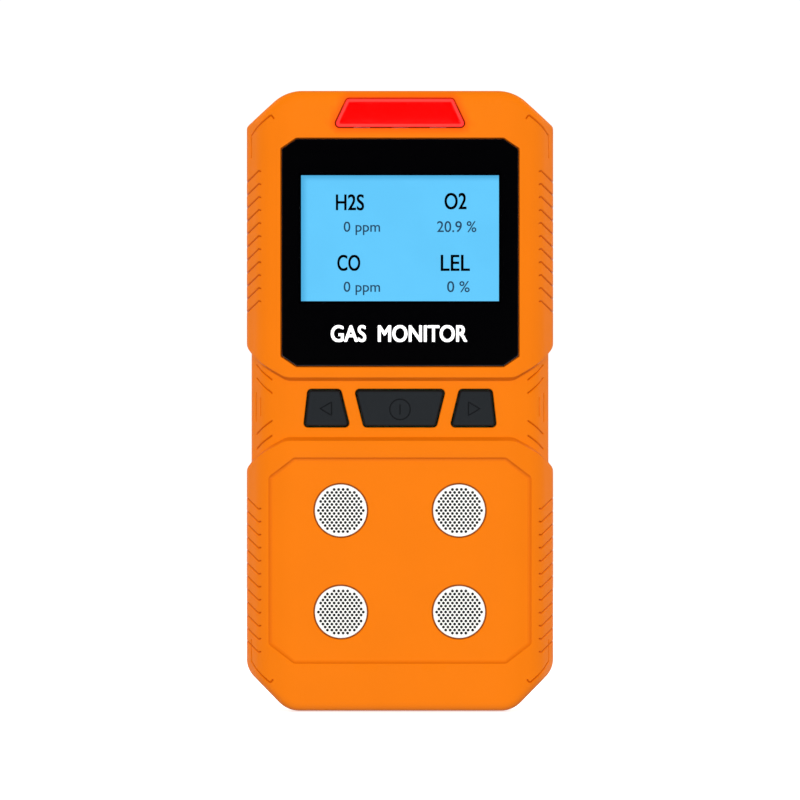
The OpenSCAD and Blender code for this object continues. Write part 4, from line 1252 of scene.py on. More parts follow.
window = relief("display_window_sheet", window_line(0), window_low[1], window_high[1],
                lambda points: rounding(loop_distance(points, window_line(0)), WINDOW_ROUND),
                [(window_line(WINDOW_ROUND * (1 - math.cos(a))), True) for a in ARC]
                + [(window_line(d), True) for d in (0.19, 0.4)]
                + [(clear_edge, True), (moved_in(clear_edge, -0.08), True)], step=4, gap=0.05,
                painted_light_and_print=back_print)
acrylic, tree, body, place = new_finish("hard_coated_tinted_acrylic", Roughness=0.05, IOR=1.49,
                                        Specular_IOR_Level=0.3)
body.inputs["Base Color"].default_value = linear("020203")
polish = add_node(tree, "ShaderNodeTexNoise", {"Scale": per_metre(14)},
                  {"Vector": (place, "Object")})
level = add_node(tree, "ShaderNodeBump", {"Distance": 0.000002}, {"Height": (polish, "Fac")})
tree.links.new(level.outputs["Normal"], body.inputs["Normal"])
print_share = add_node(tree, "ShaderNodeAttribute", {"attribute_name": "painted_light_and_print"})
solid_share = add_node(tree, "ShaderNodeMapRange", {"To Min": 0.3, "To Max": 1.0},
                       {"Value": (print_share, "Fac")})
tree.links.new(solid_share.outputs["Result"], body.inputs["Alpha"])
acrylic.surface_render_method = "BLENDED"
stands_for(window, "case", acrylic, "window_clear", "display_window")

# %% Display
LCD_HALF = 20.75
LCD_TOP = 112.3
LEFT_SHADOW = 1.6
TOP_SHADOW = 1.4


def finish_node(finish, *names):
    """Gives CAD nodes that stay as they are their finish."""
    for name in names:
        piece = nodes[name]
        if piece.material_slots:
            for held in piece.material_slots:
                held.material = finish
        else:
            piece.data.materials.append(finish)


black_ink = moulded("screen_printed_black_ink", "020203", "010101", 0.8, 0.2, 1, 0.1,
                    Specular_IOR_Level=0.02)
finish_node(black_ink, "window_mask")
lcd_glass, tree, body, place = new_finish("lit_liquid_crystal_panel", Roughness=0.5,
                                          Specular_IOR_Level=0.05, Emission_Strength=1.0)
body.inputs["Base Color"].default_value = linear("10161A")
split = add_node(tree, "ShaderNodeSeparateXYZ", links={"Vector": (place, "Object")})
# Painted shadow of the frame: the panel's light is mixed to a darker blue near its left and top
# edges.
from_left = add_node(tree, "ShaderNodeMapRange",
                     {"interpolation_type": "SMOOTHSTEP", "From Min": -LCD_HALF * MM,
                      "From Max": (-LCD_HALF + LEFT_SHADOW) * MM}, {"Value": (split, "X")})
from_top = add_node(tree, "ShaderNodeMapRange",
                    {"interpolation_type": "SMOOTHSTEP", "From Min": LCD_TOP * MM,
                     "From Max": (LCD_TOP - TOP_SHADOW) * MM}, {"Value": (split, "Z")})
clear_of_shadow = add_node(tree, "ShaderNodeMath", {"operation": "MULTIPLY"},
               {0: (from_left, "Result"), 1: (from_top, "Result")})
cloud = add_node(tree, "ShaderNodeTexNoise", {"Scale": per_metre(9)},
                 {"Vector": (place, "Object")})
even = add_node(tree, "ShaderNodeMapRange", {"From Min": 0.35, "From Max": 0.65, "To Min": 0.9},
                {"Value": (cloud, "Fac")})
glow = add_node(tree, "ShaderNodeMath", {"operation": "MULTIPLY"},
                {0: (clear_of_shadow, "Value"), 1: (even, "Result")})
WINDOW_PASSES = 0.49


def through_window(code):
    """The light that has this colour once the tinted window has taken its share."""
    return [c / WINDOW_PASSES for c in linear(code)[:3]] + [1]


blue = add_node(tree, "ShaderNodeMix",
                {"data_type": "RGBA", 6: through_window("4FB0E2"), 7: through_window("66CCFF")},
                {0: (glow, "Value")})
tree.links.new(blue.outputs[2], body.inputs["Emission Color"])
finish_node(lcd_glass, "lcd_panel")

# %% [markdown]
# ## Readings and print
# The panel shows four readings: the sign of each gas and its level. The print below the display
# only says what the instrument is. Letters are drawn as flat curves and turned to meshes, each
# fitted to the height and width it needs.

# %% Letters
LETTER_T = 0.02


def lettering(name, words, x0, x1, z0, z1, y, bold):
    """Thin raised letters that fill a rectangle and face the front. They are laid four times,
    each moved by a little, because a widened outline closes the narrow corners of an M."""
    curve = bpy.data.curves.new(name, "FONT")
    curve.body = words
    curve.resolution_u = 6
    curve.extrude = 0.01
    drawn = bpy.data.objects.new(name, curve)
    bpy.context.scene.collection.objects.link(drawn)
    bpy.context.view_layer.update()
    solid = bpy.data.meshes.new_from_object(
        drawn.evaluated_get(bpy.context.evaluated_depsgraph_get()))
    bpy.data.objects.remove(drawn)
    points = np.array([tuple(v.co) for v in solid.vertices])
    faces = [tuple(p.vertices) for p in solid.polygons]
    bpy.data.meshes.remove(solid)
    low = points.min(axis=0)
    share = (points - low) / (points.max(axis=0) - low)
    seen = np.column_stack([x0 + (x1 - x0) * share[:, 0], y + LETTER_T * (1 - share[:, 2]),
                            z0 + (z1 - z0) * share[:, 1]])
    count = len(seen)
    moves = [(-bold, -bold), (bold, -bold), (-bold, bold), (bold, bold)]
    laid = np.vstack([seen + [dx, 0, dz * 0.7] for dx, dz in moves])
    faces = [tuple(i + count * k for i in face) for k in range(len(moves)) for face in faces]
    return add_piece(name, laid, faces, sharp=60)


lcd_ink, tree, body, place = new_finish("dark_liquid_crystal", Roughness=0.6,
                                        Specular_IOR_Level=0.02)
body.inputs["Base Color"].default_value = linear("050607")
lcd_grey, tree, body, place = new_finish("half_dark_liquid_crystal", Roughness=0.6,
                                         Specular_IOR_Level=0.02, Emission_Strength=1.0)
body.inputs["Base Color"].default_value = linear("10161A")
body.inputs["Emission Color"].default_value = through_window("2C4E68")
# The white print glows a little: painted light, so that it stays full white.
print_white, tree, body, place = new_finish("white_screen_print", Roughness=0.6,
                                            Specular_IOR_Level=0.1, Emission_Strength=0.35)
body.inputs["Base Color"].default_value = linear("FFFFFF")
body.inputs["Emission Color"].default_value = (1, 1, 1, 1)

LCD_FACE = corners_of("lcd_panel")[0][1] - 0.03
SIGN_BOLD = 0.07
LEVEL_BOLD = 0.025
TITLE_BOLD = 0.1
readings = [("sign_sulfide", "H2S", -13.4, -7.6, 105.0, 108.3, lcd_ink),
            ("level_sulfide", "0 ppm", -11.8, -4.2, 99.8, 102.6, lcd_grey),
            ("sign_oxygen", "O2", 9.4, 13.9, 105.2, 108.6, lcd_ink),
            ("level_oxygen", "20.9 %", 7.8, 16.0, 100.4, 102.7, lcd_grey),
            ("sign_monoxide", "CO", -13.1, -8.4, 92.3, 95.6, lcd_ink),
            ("level_monoxide", "0 ppm", -11.8, -4.2, 87.2, 90.0, lcd_grey),
            ("sign_flammable", "LEL", 8.6, 14.6, 92.3, 95.6, lcd_ink),
            ("level_flammable", "0 %", 9.9, 14.6, 87.8, 90.1, lcd_grey)]
for name, words, x0, x1, z0, z1, ink in readings:
    sign = lettering(name, words, x0, x1, z0, z1, LCD_FACE,
                     SIGN_BOLD if ink == lcd_ink else LEVEL_BOLD)
    stands_for(sign, "case", ink, "lcd_cyan")
title = lettering("window_print", "GAS  MONITOR", -14.4, 14.0, 77.4, 80.8,
                  window_low[1] - LETTER_T, TITLE_BOLD)
stands_for(title, "case", print_white, "window_clear")

# %% [markdown]
# ## The keys
# The three keys are moulded silicone, dyed charcoal, with a soft matt touch. Their signs are sunk
# into the mould so that they can't wear off: an arrow to each side and the sign for power.

# %% Keys
SIGN_HALF = 0.17
SIGN_DEPTH = 0.14
arrow = np.array([(-1.25, 0), (1.15, 1.4), (1.15, -1.4)])
arrow_left = cut_up(arrow[::-1] + [-15.5, 63.35], 0.4, closed=True)
arrow_right = cut_up(arrow * [-1, 1] + [15.5, 63.35], 0.4, closed=True)
power_bar = cut_up([(0, 64.2), (0, 62.2)], 0.3)
SIGNS = {"left": ([arrow_left], []), "right": ([arrow_right], []),
         "power": ([circle(0, 63.2, 2.15, 40)], [power_bar])}
KEY_FRONT = corners_of("power_key")[0][1]
KEY_BACK = -12.4
KEY_ROUND = 0.4


def make_key(which):
    """A key with rounded edges and its sunk sign."""
    rings, bars = SIGNS[which]
    edge = key_line(which, 0)
    lines = [(key_line(which, KEY_ROUND * (1 - math.cos(a))), True) for a in ARC]
    for ring in rings:
        lines += [(moved_in(ring, d), True) for d in (-SIGN_HALF, -SIGN_HALF / 2, 0,
                                                      SIGN_HALF / 2, SIGN_HALF)]
    for bar in bars:
        lines += [(bar, False), (ribbon(bar, SIGN_HALF), True), (ribbon(bar, SIGN_HALF / 2), True)]
    starts = np.vstack(rings + [b[:-1] for b in bars])
    stops = np.vstack([np.roll(r, -1, axis=0) for r in rings] + [b[1:] for b in bars])

    def sign(points):
        near = np.clip(distance_to(points, starts, stops) / SIGN_HALF, 0, 1)
        return 0.5 + 0.5 * np.cos(math.pi * near)

    def drop(points):
        return rounding(loop_distance(points, edge), KEY_ROUND) + SIGN_DEPTH * sign(points)

    # Painted shade: a darker colour at the key's rounded edge and in its sunk sign.
    def dark(points):
        rim = np.interp(loop_distance(points, edge), [0, 0.2, 0.4], [1, 0.6, 0])
        return np.maximum(rim, 0.8 * sign(points))

    return relief(which + "_key_cap", edge, KEY_FRONT, KEY_BACK, drop, lines, step=0.8, gap=0.1,
                  painted_light_and_print=dark)


for which in KEYS:
    stands_for(make_key(which), which + "_button", silicone_grey, "key_rubber", which + "_key")

# %% [markdown]
# ## The gas inlets
# Gas reaches each sensor through a white moulded disc with rows of fine holes, over a dark dust
# filter. The holes are real here: a dark dot painted on a disc goes flat as soon as the view
# changes, while a real hole hides its filter from the side.

# %% Inlet discs
HOLE_R = 0.31
PITCH_X = 0.94
PITCH_Z = 0.63
FIELD_R = 4.76
DISC_ROUND = 0.25
STEP_IN = 5.08
STEP_OUT = 5.2
hole_lines = []
for row in range(-7, 8):
    for column in range(-5, 6):
        x = (column + (abs(row) % 2) / 2) * PITCH_X
        z = row * PITCH_Z
        if math.hypot(x, z) < FIELD_R:
            hole_lines.append(circle(x, z, HOLE_R, 10))
disc_edge = circle(0, 0, GRILLE_R, 72)
disc_lines = [(circle(0, 0, GRILLE_R - DISC_ROUND * (1 - math.cos(a)), 72), True) for a in ARC]
disc_lines += [(circle(0, 0, r, 64), True) for r in (STEP_OUT, STEP_IN + 0.01)]


def disc_drop(points):
    """A rounded edge, then a small step down to the field of holes."""
    r = np.linalg.norm(points, axis=1)
    return rounding(GRILLE_R - r, DISC_ROUND) + np.interp(r, [STEP_IN, STEP_OUT], [0.1, 0])


def disc_painted_shade(points):
    """Painted shade inside the step and at the edge."""
    return np.interp(np.linalg.norm(points, axis=1), [STEP_IN, STEP_OUT, 5.3, GRILLE_R],
                     [0.12, 0, 0, 0.5])


disc = relief("inlet_discs", disc_edge, grille_low[1], grille_high[1], disc_drop, disc_lines,
              hole_lines, 0.9, 0.12, painted_light_and_print=disc_painted_shade)


def repeat_at(piece, shifts):
    """The same solid at several places, as one piece."""
    work = bmesh.new()
    for x, y, z in shifts:
        copy = piece.data.copy()
        for vertex in copy.vertices:
            vertex.co += Vector((x, y, z)) * MM
        work.from_mesh(copy)
        bpy.data.meshes.remove(copy)
    work.to_mesh(piece.data)
    work.free()
    return piece


repeat_at(disc, [(x, 0, z) for x, z in GRILLES])
stands_for(disc, "case", pbt_white, "grille_white", "sensor_grilles")
dust_filter = moulded("sintered_dark_dust_filter", "26272A", "141416", 0.85, 0.15, 20, 0.15,
                      Specular_IOR_Level=0.15)
finish_node(dust_filter, "sensor_filters")
print(len(hole_lines), "holes in each inlet disc")

# %% [markdown]
# ## Screws
# The case screws are zinc-plated steel with a six-sided socket. A screw is a turned shape: rings
# of points round one axis. The socket's rings are six-sided and sit between the same two rings
# of the head, so no boolean is needed.

# %% Screws
steel_zinc = metal("zinc_plated_steel", "A9ABAD", 0.32, 0.12, 2, "Z")


def six_sided(across, angles):
    """Radius of a hexagon with this half width at each angle."""
    return across / np.cos((angles + math.pi / 6) % (math.pi / 3) - math.pi / 6)


def turned(name, rings, centre, axis, sides=48):
    """A solid turned round an axis from rings of (level, radius). A negative radius is
    six-sided."""
    angles = np.arange(sides) * 2 * math.pi / sides
    turning = "XYZ".index(axis)
    others = [i for i in range(3) if i != turning]
    points = []
    for level, radius in rings:
        reach = six_sided(-radius, angles) if radius < 0 else np.full(sides, radius)
        ring = np.zeros((sides, 3))
        ring[:, turning] = level
        ring[:, others[0]] = centre[0] + reach * np.cos(angles)
        ring[:, others[1]] = centre[1] + reach * np.sin(angles)
        points.append(ring)
    total = len(rings) * sides
    faces = [tuple(range(sides)), tuple(range(total - 1, total - sides - 1, -1))]
    for k in range(len(rings) - 1):
        for i in range(sides):
            j = (i + 1) % sides
            faces.append((k * sides + i, k * sides + j, (k + 1) * sides + j, (k + 1) * sides + i))
    return add_piece(name, np.vstack(points), faces, sharp=35)


def screw_rings(tip, seat, thread_r, head_r, head_h, socket_r):
    """A cap screw along Y, from its tip to its domed head and the floor of its socket."""
    top = seat + head_h
    return [(tip, thread_r * 0.75), (tip + 0.3, thread_r), (seat, thread_r), (seat, head_r - 0.12),
            (seat + 0.12, head_r), (top - 0.45, head_r), (top - 0.2, head_r - 0.1),
            (top - 0.05, head_r - 0.28), (top, head_r - 0.55), (top, socket_r + 0.28),
            (top - 0.12, -socket_r), (top - head_h * 0.55, -socket_r), (top - head_h * 0.6, 0.15)]


for number, (x, z) in enumerate(wells):
    rings = screw_rings(screw_low[1], WELL_FLOOR, 1.25, HEAD_R, 1.8, 0.9)
    screw = turned("case_screw_%d" % (number + 1), rings, (x, z), "Y")
    stands_for(screw, "case", steel_zinc, "screw_steel", "case_screws")

# %% [markdown]
# ## The rating label
# A thin satin foil in a shallow recess. Its print is left empty here: a fine frame and ruled
# fields for a date and an owner, drawn as lines in the sheet.

# %% Rating label
label_edge = cut_up(rounded_box(-label_high[0], label_high[0], label_low[2], label_high[2], 2),
                    1.0, closed=True)
rulings = [moved_in(label_edge, 1.1)]
for z0, z1 in ((label_low[2] + 3, label_low[2] + 9), (label_low[2] + 11, label_low[2] + 17)):
    rulings.append(cut_up(rounded_box(-16, 2, z0, z1, 0.5), 1.5, closed=True))
    rulings.append(cut_up(rounded_box(4, 16, z0, z1, 0.5), 1.5, closed=True))
LINE = 0.14


def printed(points):
    """1 on the printed lines and 0 between them."""
    near = np.full(len(points), 9.0)
    for loop in rulings:
        near = np.minimum(near, loop_distance(points, loop))
    return np.where(near < LINE + 0.001, 1.0, 0.0)


ruled = [(moved_in(loop, d), True) for loop in rulings
         for d in (-LINE - 0.01, -LINE, LINE, LINE + 0.01)]
label = relief("rating_label_foil", label_edge, label_high[1], label_low[1],
               lambda p: rounding(loop_distance(p, label_edge), 0.08), ruled, step=2.5,
               painted_light_and_print=printed)
foil, tree, body, place = new_finish("printed_satin_foil", Metallic=0.7, Roughness=0.42)
ink = add_node(tree, "ShaderNodeAttribute", {"attribute_name": "painted_light_and_print"})
tone = add_node(tree, "ShaderNodeMix",
                {"data_type": "RGBA", 6: linear("D5D7D8"), 7: linear("2A2C2E")},
                {0: (ink, "Fac")})
tree.links.new(tone.outputs[2], body.inputs["Base Color"])
satin = add_node(tree, "ShaderNodeMapping", {"Scale": (0.05, 1.0, 1.0)},
                 {"Vector": (place, "Object")})
brushed = add_node(tree, "ShaderNodeTexNoise", {"Scale": per_metre(0.15)},
                   {"Vector": (satin, "Vector")})
sheen = add_node(tree, "ShaderNodeBump", {"Distance": 0.000002}, {"Height": (brushed, "Fac")})
tree.links.new(sheen.outputs["Normal"], body.inputs["Normal"])
stands_for(label, "case", foil, "label_silver", "rating_label")

# %% [markdown]
# ## The belt clip
# The clip is pressed from nickel-plated spring steel: a plate with two ears screwed to the case,
# and a lever that turns on a pin between them. Sheet parts are drawn as their edge line pulled to
# its width, joined as solids, and every edge is then eased by a fraction of a millimetre, as
# tumbling does to pressed parts.

# %% Clip plate
clip_nickel = metal("tumbled_nickel_plated_steel", "C6C8CA", 0.24, 0.25, 3, "Z", 0.07)
plate_low, plate_high = corners_of("clip_plate")
lever_low, lever_high = corners_of("clip_lever")
pin_low, pin_high = corners_of("clip_pin")
PLATE_Y = BACK_Y + 1
PIVOT = ((pin_low[1] + pin_high[1]) / 2, (pin_low[2] + pin_high[2]) / 2)
EAR_OUT = plate_high[0]
EAR_T = 1.2
CLIP_SCREWS = (plate_low[2] + 8.5, plate_high[2] - 7)
plate_edge = round_off(octagon(EAR_OUT, plate_low[2], plate_high[2], 3, 3), 0.8)
plate = prism("clip_plate_sheet", plate_edge, "Y", BACK_Y, PLATE_Y)
ear_line = round_off([(BACK_Y, PIVOT[1] - 4.5), (PIVOT[0] + 2.8, PIVOT[1] - 2.6),
                      (PIVOT[0] + 2.8, PIVOT[1] + 2.6), (BACK_Y, PIVOT[1] + 4.5)], [0, 2, 2, 0])
ears = [prism("ear", ear_line, "X", side * EAR_OUT, side * (EAR_OUT - EAR_T))
        for side in (-1, 1)]
combine(plate, ears, "UNION")
holes = [prism("hole", circle(0, z, 1.7, 32), "Y", 0, 30) for z in CLIP_SCREWS]
holes.append(prism("hole", circle(PIVOT[0], PIVOT[1], 1.27, 32), "X", -30, 30))
combine(plate, holes, "DIFFERENCE")
ease_edges(plate, 0.14)
stands_for(plate, "case", clip_nickel, "clip_steel", "clip_plate")

# %% Clip lever
LEVER_T = 1.2
LEVER_HALF = lever_high[0]
LEVER_Y = PLATE_Y + 6.5
JAW_Z = plate_low[2] + 1.5
BEND = (LEVER_Y, PIVOT[1] - 9)
KNEE_OUT = 4.2
KNEE = (PIVOT[0] + KNEE_OUT, PIVOT[1])
lever_path = round_off([(PLATE_Y + LEVER_T / 2 + 1.6, JAW_Z - 1),
                        (PLATE_Y + LEVER_T / 2 + 0.25, JAW_Z + 1), (LEVER_Y, JAW_Z + 7.5),
                        BEND, KNEE, (BACK_Y + 13.09, plate_high[2] + 1)], 1.6, closed=False)


def strip(path, thick):
    """The edge line of a bent sheet."""
    run = np.gradient(path, axis=0)
    run /= np.linalg.norm(run, axis=1)[:, None]
    left = np.column_stack([-run[:, 1], run[:, 0]]) * thick / 2
    return np.vstack([path - left, (path + left)[::-1]])


lever = prism("clip_lever_sheet", strip(lever_path, LEVER_T), "X", -LEVER_HALF, LEVER_HALF)
shape = prism("shape", rounded_box(-LEVER_HALF, LEVER_HALF, lever_low[2], plate_high[2] - 0.2, 4),
              "Y", 10, 40)
combine(lever, [shape], "INTERSECT")
wing = round_off([(PIVOT[0] - 3.1, PIVOT[1] - 2), BEND, KNEE, (PIVOT[0] + 4.4, PIVOT[1] + 3),
                  (PIVOT[0] - 3.1, PIVOT[1] + 2.5)], [2, 0, 0, 0, 2])
parts = [prism("wing", wing, "X", side * LEVER_HALF, side * (LEVER_HALF - EAR_T))
         for side in (-1, 1)]
parts.append(prism("rib", rounded_box(-3.2, 3.2, JAW_Z + 10, PIVOT[1] - 10.5, 3.1), "Y",
                   LEVER_Y, LEVER_Y + LEVER_T / 2 + 0.5))
slope = (BACK_Y + 13.5 - LEVER_T / 2 - PIVOT[0] - KNEE_OUT) / (plate_high[2] - PIVOT[1])
for k in range(4):
    z = PIVOT[1] + 5 + 2.4 * k
    y = KNEE[0] + slope * (z - PIVOT[1]) + LEVER_T / 2
    parts.append(prism("grip", circle(y, z, 0.42, 16), "X", -6.5, 6.5))
combine(lever, parts, "UNION")
pin_hole = prism("hole", circle(PIVOT[0], PIVOT[1], 1.31, 32), "X", -30, 30)
combine(lever, [pin_hole], "DIFFERENCE")
ease_edges(lever, 0.14)
stands_for(lever, "belt_clip_lever", clip_nickel, "clip_steel", "clip_lever")

# %% Pin, springs and screws of the clip
PIN_R = 1.25
PIN_HEAD_R = 1.85
reach = pin_high[0]
pin_rings = [(-reach, 0.9), (-reach + 0.18, 1.5), (-reach + 0.4, PIN_HEAD_R),
             (-EAR_OUT, PIN_HEAD_R), (-EAR_OUT, PIN_R), (EAR_OUT, PIN_R), (EAR_OUT, PIN_HEAD_R),
             (reach - 0.4, PIN_HEAD_R), (reach - 0.18, 1.5), (reach, 0.9)]
pin = turned("clip_hinge_pin", pin_rings, PIVOT, "X")
stands_for(pin, "case", clip_nickel, "clip_steel", "clip_pin")
for number, z in enumerate(CLIP_SCREWS):
    rings = screw_rings(BACK_Y - 3.3, PLATE_Y, 1.5, 2.75, 1.2, 1.1)
    screw = turned("clip_screw_%d" % (number + 1), rings, (0, z), "Y")
    stands_for(screw, "case", steel_zinc, "screw_steel", "clip_screws")


def tube(name, path, radius, sides=14):
    """A round wire along a path, closed at both ends."""
    path = np.asarray(path, float)
    run = np.gradient(path, axis=0)
    run /= np.linalg.norm(run, axis=1)[:, None]
    side = np.cross(run[0], [0, 0, 1])
    turn = np.arange(sides) * 2 * math.pi / sides
    points = []
    for here, along in zip(path, run):
        side = side - along * (side @ along)
        side /= np.linalg.norm(side)
        other = np.cross(along, side)
        ring = np.cos(turn)[:, None] * side + np.sin(turn)[:, None] * other
        points.append(here + radius * ring)
    last = len(path) - 1
    faces = [tuple(range(sides)), tuple(last * sides + i for i in reversed(range(sides)))]
    for k in range(last):
        for i in range(sides):
            j = (i + 1) % sides
            faces.append((k * sides + i, k * sides + j, (k + 1) * sides + j, (k + 1) * sides + i))
    return add_piece(name, np.vstack(points), faces, sharp=50)


WIRE_R = 0.45
COIL_R = PIN_R + WIRE_R + 0.35
spring_wire = metal("drawn_spring_steel", "8E9092", 0.3, 0.1, 1, "X")
for side, name in ((-1, "left"), (1, "right")):
    coil = []
    for degrees in range(0, 4 * 360 + 151, 12):
        angle = math.radians(degrees - 115)
        coil.append((side * (1.4 + (2 * WIRE_R + 0.2) * degrees / 360),
                     PIVOT[0] + COIL_R * math.cos(angle), PIVOT[1] + COIL_R * math.sin(angle)))
    foot = (coil[0][0], PLATE_Y + WIRE_R + 0.1, PIVOT[1] - 8)
    toe = (coil[-1][0], LEVER_Y - LEVER_T / 2 - WIRE_R - 0.4, PIVOT[1] - 11)
    spring = tube(name + "_clip_spring", [foot] + coil + [toe], WIRE_R)
    stands_for(spring, "case", spring_wire, "spring_steel", "clip_spring")

# %% [markdown]
# ## The charging port
# A stamped steel socket sits at the bottom end behind a soft flap. The flap is held by a thin web
# that bends when the flap swings down, so the web's mesh has many narrow strips to bend along.

# %% Charging socket
port_steel = metal("stamped_nickel_plated_shell", "B4B6B7", 0.28, 0.15, 2, "Z")
socket = prism("charging_socket_shell",
               rounded_box(socket_low[0], socket_high[0], socket_low[1], socket_high[1], 1.6), "Z",
               socket_low[2], socket_high[2])
mouth = prism("mouth", rounded_box(socket_low[0] + 0.3, socket_high[0] - 0.3, socket_low[1] + 0.3,
                                   socket_high[1] - 0.3, 1.32), "Z", 0, socket_low[2] + 6)
combine(socket, [mouth], "DIFFERENCE")
ease_edges(socket, 0.07, 2)
stands_for(socket, "case", port_steel, "port_steel", "usb_socket")
nylon_black = moulded("moulded_black_nylon", "1D1E20", "0C0C0D", 0.5, 0.2, 3)
tongue = prism("charging_socket_tongue",
               rounded_box(-3.35, 3.35, PORT_Y - 0.35, PORT_Y + 0.35, 0.2),
               "Z", socket_low[2] + 1.2, socket_low[2] + 6.2)
ease_edges(tongue, 0.08, 2)
stands_for(tongue, "case", nylon_black, "switch_black", "usb_socket")
gold = metal("flash_gold_contact", "D8B25C", 0.22, 0.1, 1, "Z", 0.05)
pads = [prism("charging_contacts", rounded_box(x - 0.12, x + 0.12, PORT_Y - 0.37, PORT_Y - 0.33, 0),
              "Z", socket_low[2] + 1.6, socket_low[2] + 5.5) for x in np.arange(-2.75, 2.8, 0.5)]
combine(pads[0], pads[1:], "UNION")
stands_for(pads[0], "case", gold, "socket_gold", "usb_socket")

# %% Flap and its web
flap = prism("port_flap_moulding",
             rounded_box(flap_low[0], flap_high[0], flap_low[1], flap_high[1], 0.6),
             "Z", flap_low[2], flap_low[2] + 1.2)
plug = prism("plug", rounded_box(-3.5, 3.5, PORT_Y - 0.95, PORT_Y + 0.95, 0.9), "Z",
             flap_low[2] + 1, flap_high[2])
combine(flap, [plug], "UNION")
nail = prism("nail", circle(flap_low[0], flap_low[2] - 0.35, 0.95, 24), "Y", PORT_Y - 1.8,
             PORT_Y + 1.8)
sink = prism("sink", rounded_box(-5, 5.4, flap_low[1] + 1.1, flap_high[1] - 1.1, 0.8), "Z",
             flap_low[2] - 1, flap_low[2] + 0.35)
combine(flap, [nail, sink], "DIFFERENCE")
ease_edges(flap, 0.1, 3)
stands_for(flap, "port_cover", tpe_orange, "orange_rubber", "port_flap")
anchor_x = tether_low[0] + 1.2
web_x = np.linspace(tether_low[0], anchor_x, 13)
low_line = [(x, tether_low[2]) for x in web_x] + [(tether_high[0], tether_low[2])]
high_line = [(x, tether_low[2] + 0.5) for x in web_x[::-1]]
root_line = [(tether_high[0], tether_high[2]), (anchor_x, tether_high[2])]
tether = prism("port_flap_web", low_line + root_line + high_line, "Y", tether_low[1],
               tether_high[1])
stands_for(tether, "case", tpe_orange, "orange_rubber", "flap_tether")
tether.parent = None
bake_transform(tether)

# %% [markdown]
# ## The pieces inside
# Boards, cell, buzzer, motor and sensors are shut in by the covers. They keep their CAD shape and
# get the finish of the real part, so that the object is right when it is opened.

# %% Inner plastics and rubbers
INNER = {
    "moulded_black_silicone_seal": ("303234", "101112", 0.7, ["case_seal", "sensor_gaskets"]),
    "moulded_charcoal_mat": ("2A2E31", "101112", 0.65, ["keypad_mat"]),
    "moulded_ivory_nylon": ("E8E2CF", "A8A08A", 0.45,
                            ["left_plunger", "power_plunger", "right_plunger", "battery_plug",
                             "battery_socket", "ribbon_connectors"]),
    "moulded_white_light_guide": ("F4F8FA", "C8D0D4", 0.3, ["lcd_backlight"]),
    "green_solder_mask": ("14603A", "0A3A22", 0.35, ["display_board", "sensor_board"]),
    "black_epoxy_package": ("17181A", "0A0A0B", 0.6, ["processor_chip", "buzzer"]),
    "white_lamp_body": ("F1F1E6", "B0B0A0", 0.35, ["alarm_leds"]),
    "grey_closed_cell_foam": ("5B5E61", "2B2D2F", 0.9, ["buzzer_seal", "battery_pads"]),
    "white_porous_film": ("F3F4F2", "C0C2C0", 0.8, ["sound_membrane"]),
    "moulded_black_boot_rubber": ("26282A", "0E0F10", 0.7, ["motor_boot"]),
    "red_wire_insulation": ("C21A1A", "700808", 0.4, ["motor_leads", "battery_leads"]),
    "yellow_sensor_body": ("D9C24A", "8A7A20", 0.4, ["sensor_hydrogen_sulfide"]),
    "blue_sensor_body": ("5C86B8", "2C4A70", 0.4, ["sensor_oxygen"]),
    "red_sensor_body": ("B8483E", "702018", 0.4, ["sensor_carbon_monoxide"]),
    "grey_flat_cable": ("B8BEC4", "70767C", 0.5, ["ribbon_cable"])}
for name, (colour, shade_colour, roughness, held) in INNER.items():
    finish_node(moulded(name, colour, shade_colour, roughness, 0.3, 4), *held)
finish_node(nylon_black, "key_switches")

# %% Inner metals
INNER_METALS = {
    "tin_plated_pressed_steel": ("B9BBB8", 0.35, ["lcd_frame"]),
    "nickel_plated_motor_can": ("C3C5C6", 0.25, ["motor_can", "motor_shaft"]),
    "sintered_tungsten": ("7C7D80", 0.5, ["motor_weight"]),
    "aluminium_laminate_pouch": ("C8CBCC", 0.35, ["battery_cell"]),
    "stainless_sensor_can": ("BFC1C2", 0.3, ["sensor_flammable"]),
    "gold_plated_pin_socket": ("C9A24B", 0.25, ["sensor_sockets"]),
    "turned_brass": ("C7A050", 0.3, ["screw_inserts"])}
for name, (colour, roughness, held) in INNER_METALS.items():
    finish_node(metal(name, colour, roughness, 0.2, 2, "Z"), *held)
finish_node(steel_zinc, "board_screws")

# %% [markdown]
# ## Studio and camera
# A long lens, far back, shows the front almost without perspective. The light is a white room
# with a large soft lamp in front, so the face is brighter than the bevels, and two more behind the
# object for its sides and back. The floor gives the object no light, because light from below
# would make the face and the bevels look the same. A dark flag stands behind the camera, out of
# sight, and the lamps aren't mirrored, so the flat window stays black. The floor can be seen only
# from above, so the port in the bottom end can be looked at from below.

# %% Floor
FLOOR_Z = -0.0003
floor_mesh = bpy.data.meshes.new("studio_floor")
floor_mesh.from_pydata([(-3, -3.5, FLOOR_Z), (3, -3.5, FLOOR_Z), (3, 1.8, FLOOR_Z),
                        (-3, 1.8, FLOOR_Z)], [], [(0, 1, 2, 3)])
floor = bpy.data.objects.new("studio_floor", floor_mesh)
bpy.context.scene.collection.objects.link(floor)
pale, tree, body, place = new_finish("matt_white_studio_floor", Roughness=0.9,
                                     Specular_IOR_Level=0.1, Emission_Strength=0.71)
body.inputs["Base Color"].default_value = linear("D9D9D9")
body.inputs["Emission Color"].default_value = (1, 1, 1, 1)
under = add_node(tree, "ShaderNodeNewGeometry")
clear = add_node(tree, "ShaderNodeBsdfTransparent")
one_sided = add_node(tree, "ShaderNodeMixShader",
                     links={0: (under, "Backfacing"), 1: (body, "BSDF"), 2: (clear, "BSDF")})
tree.links.new(one_sided.outputs["Shader"], tree.nodes["Material Output"].inputs["Surface"])
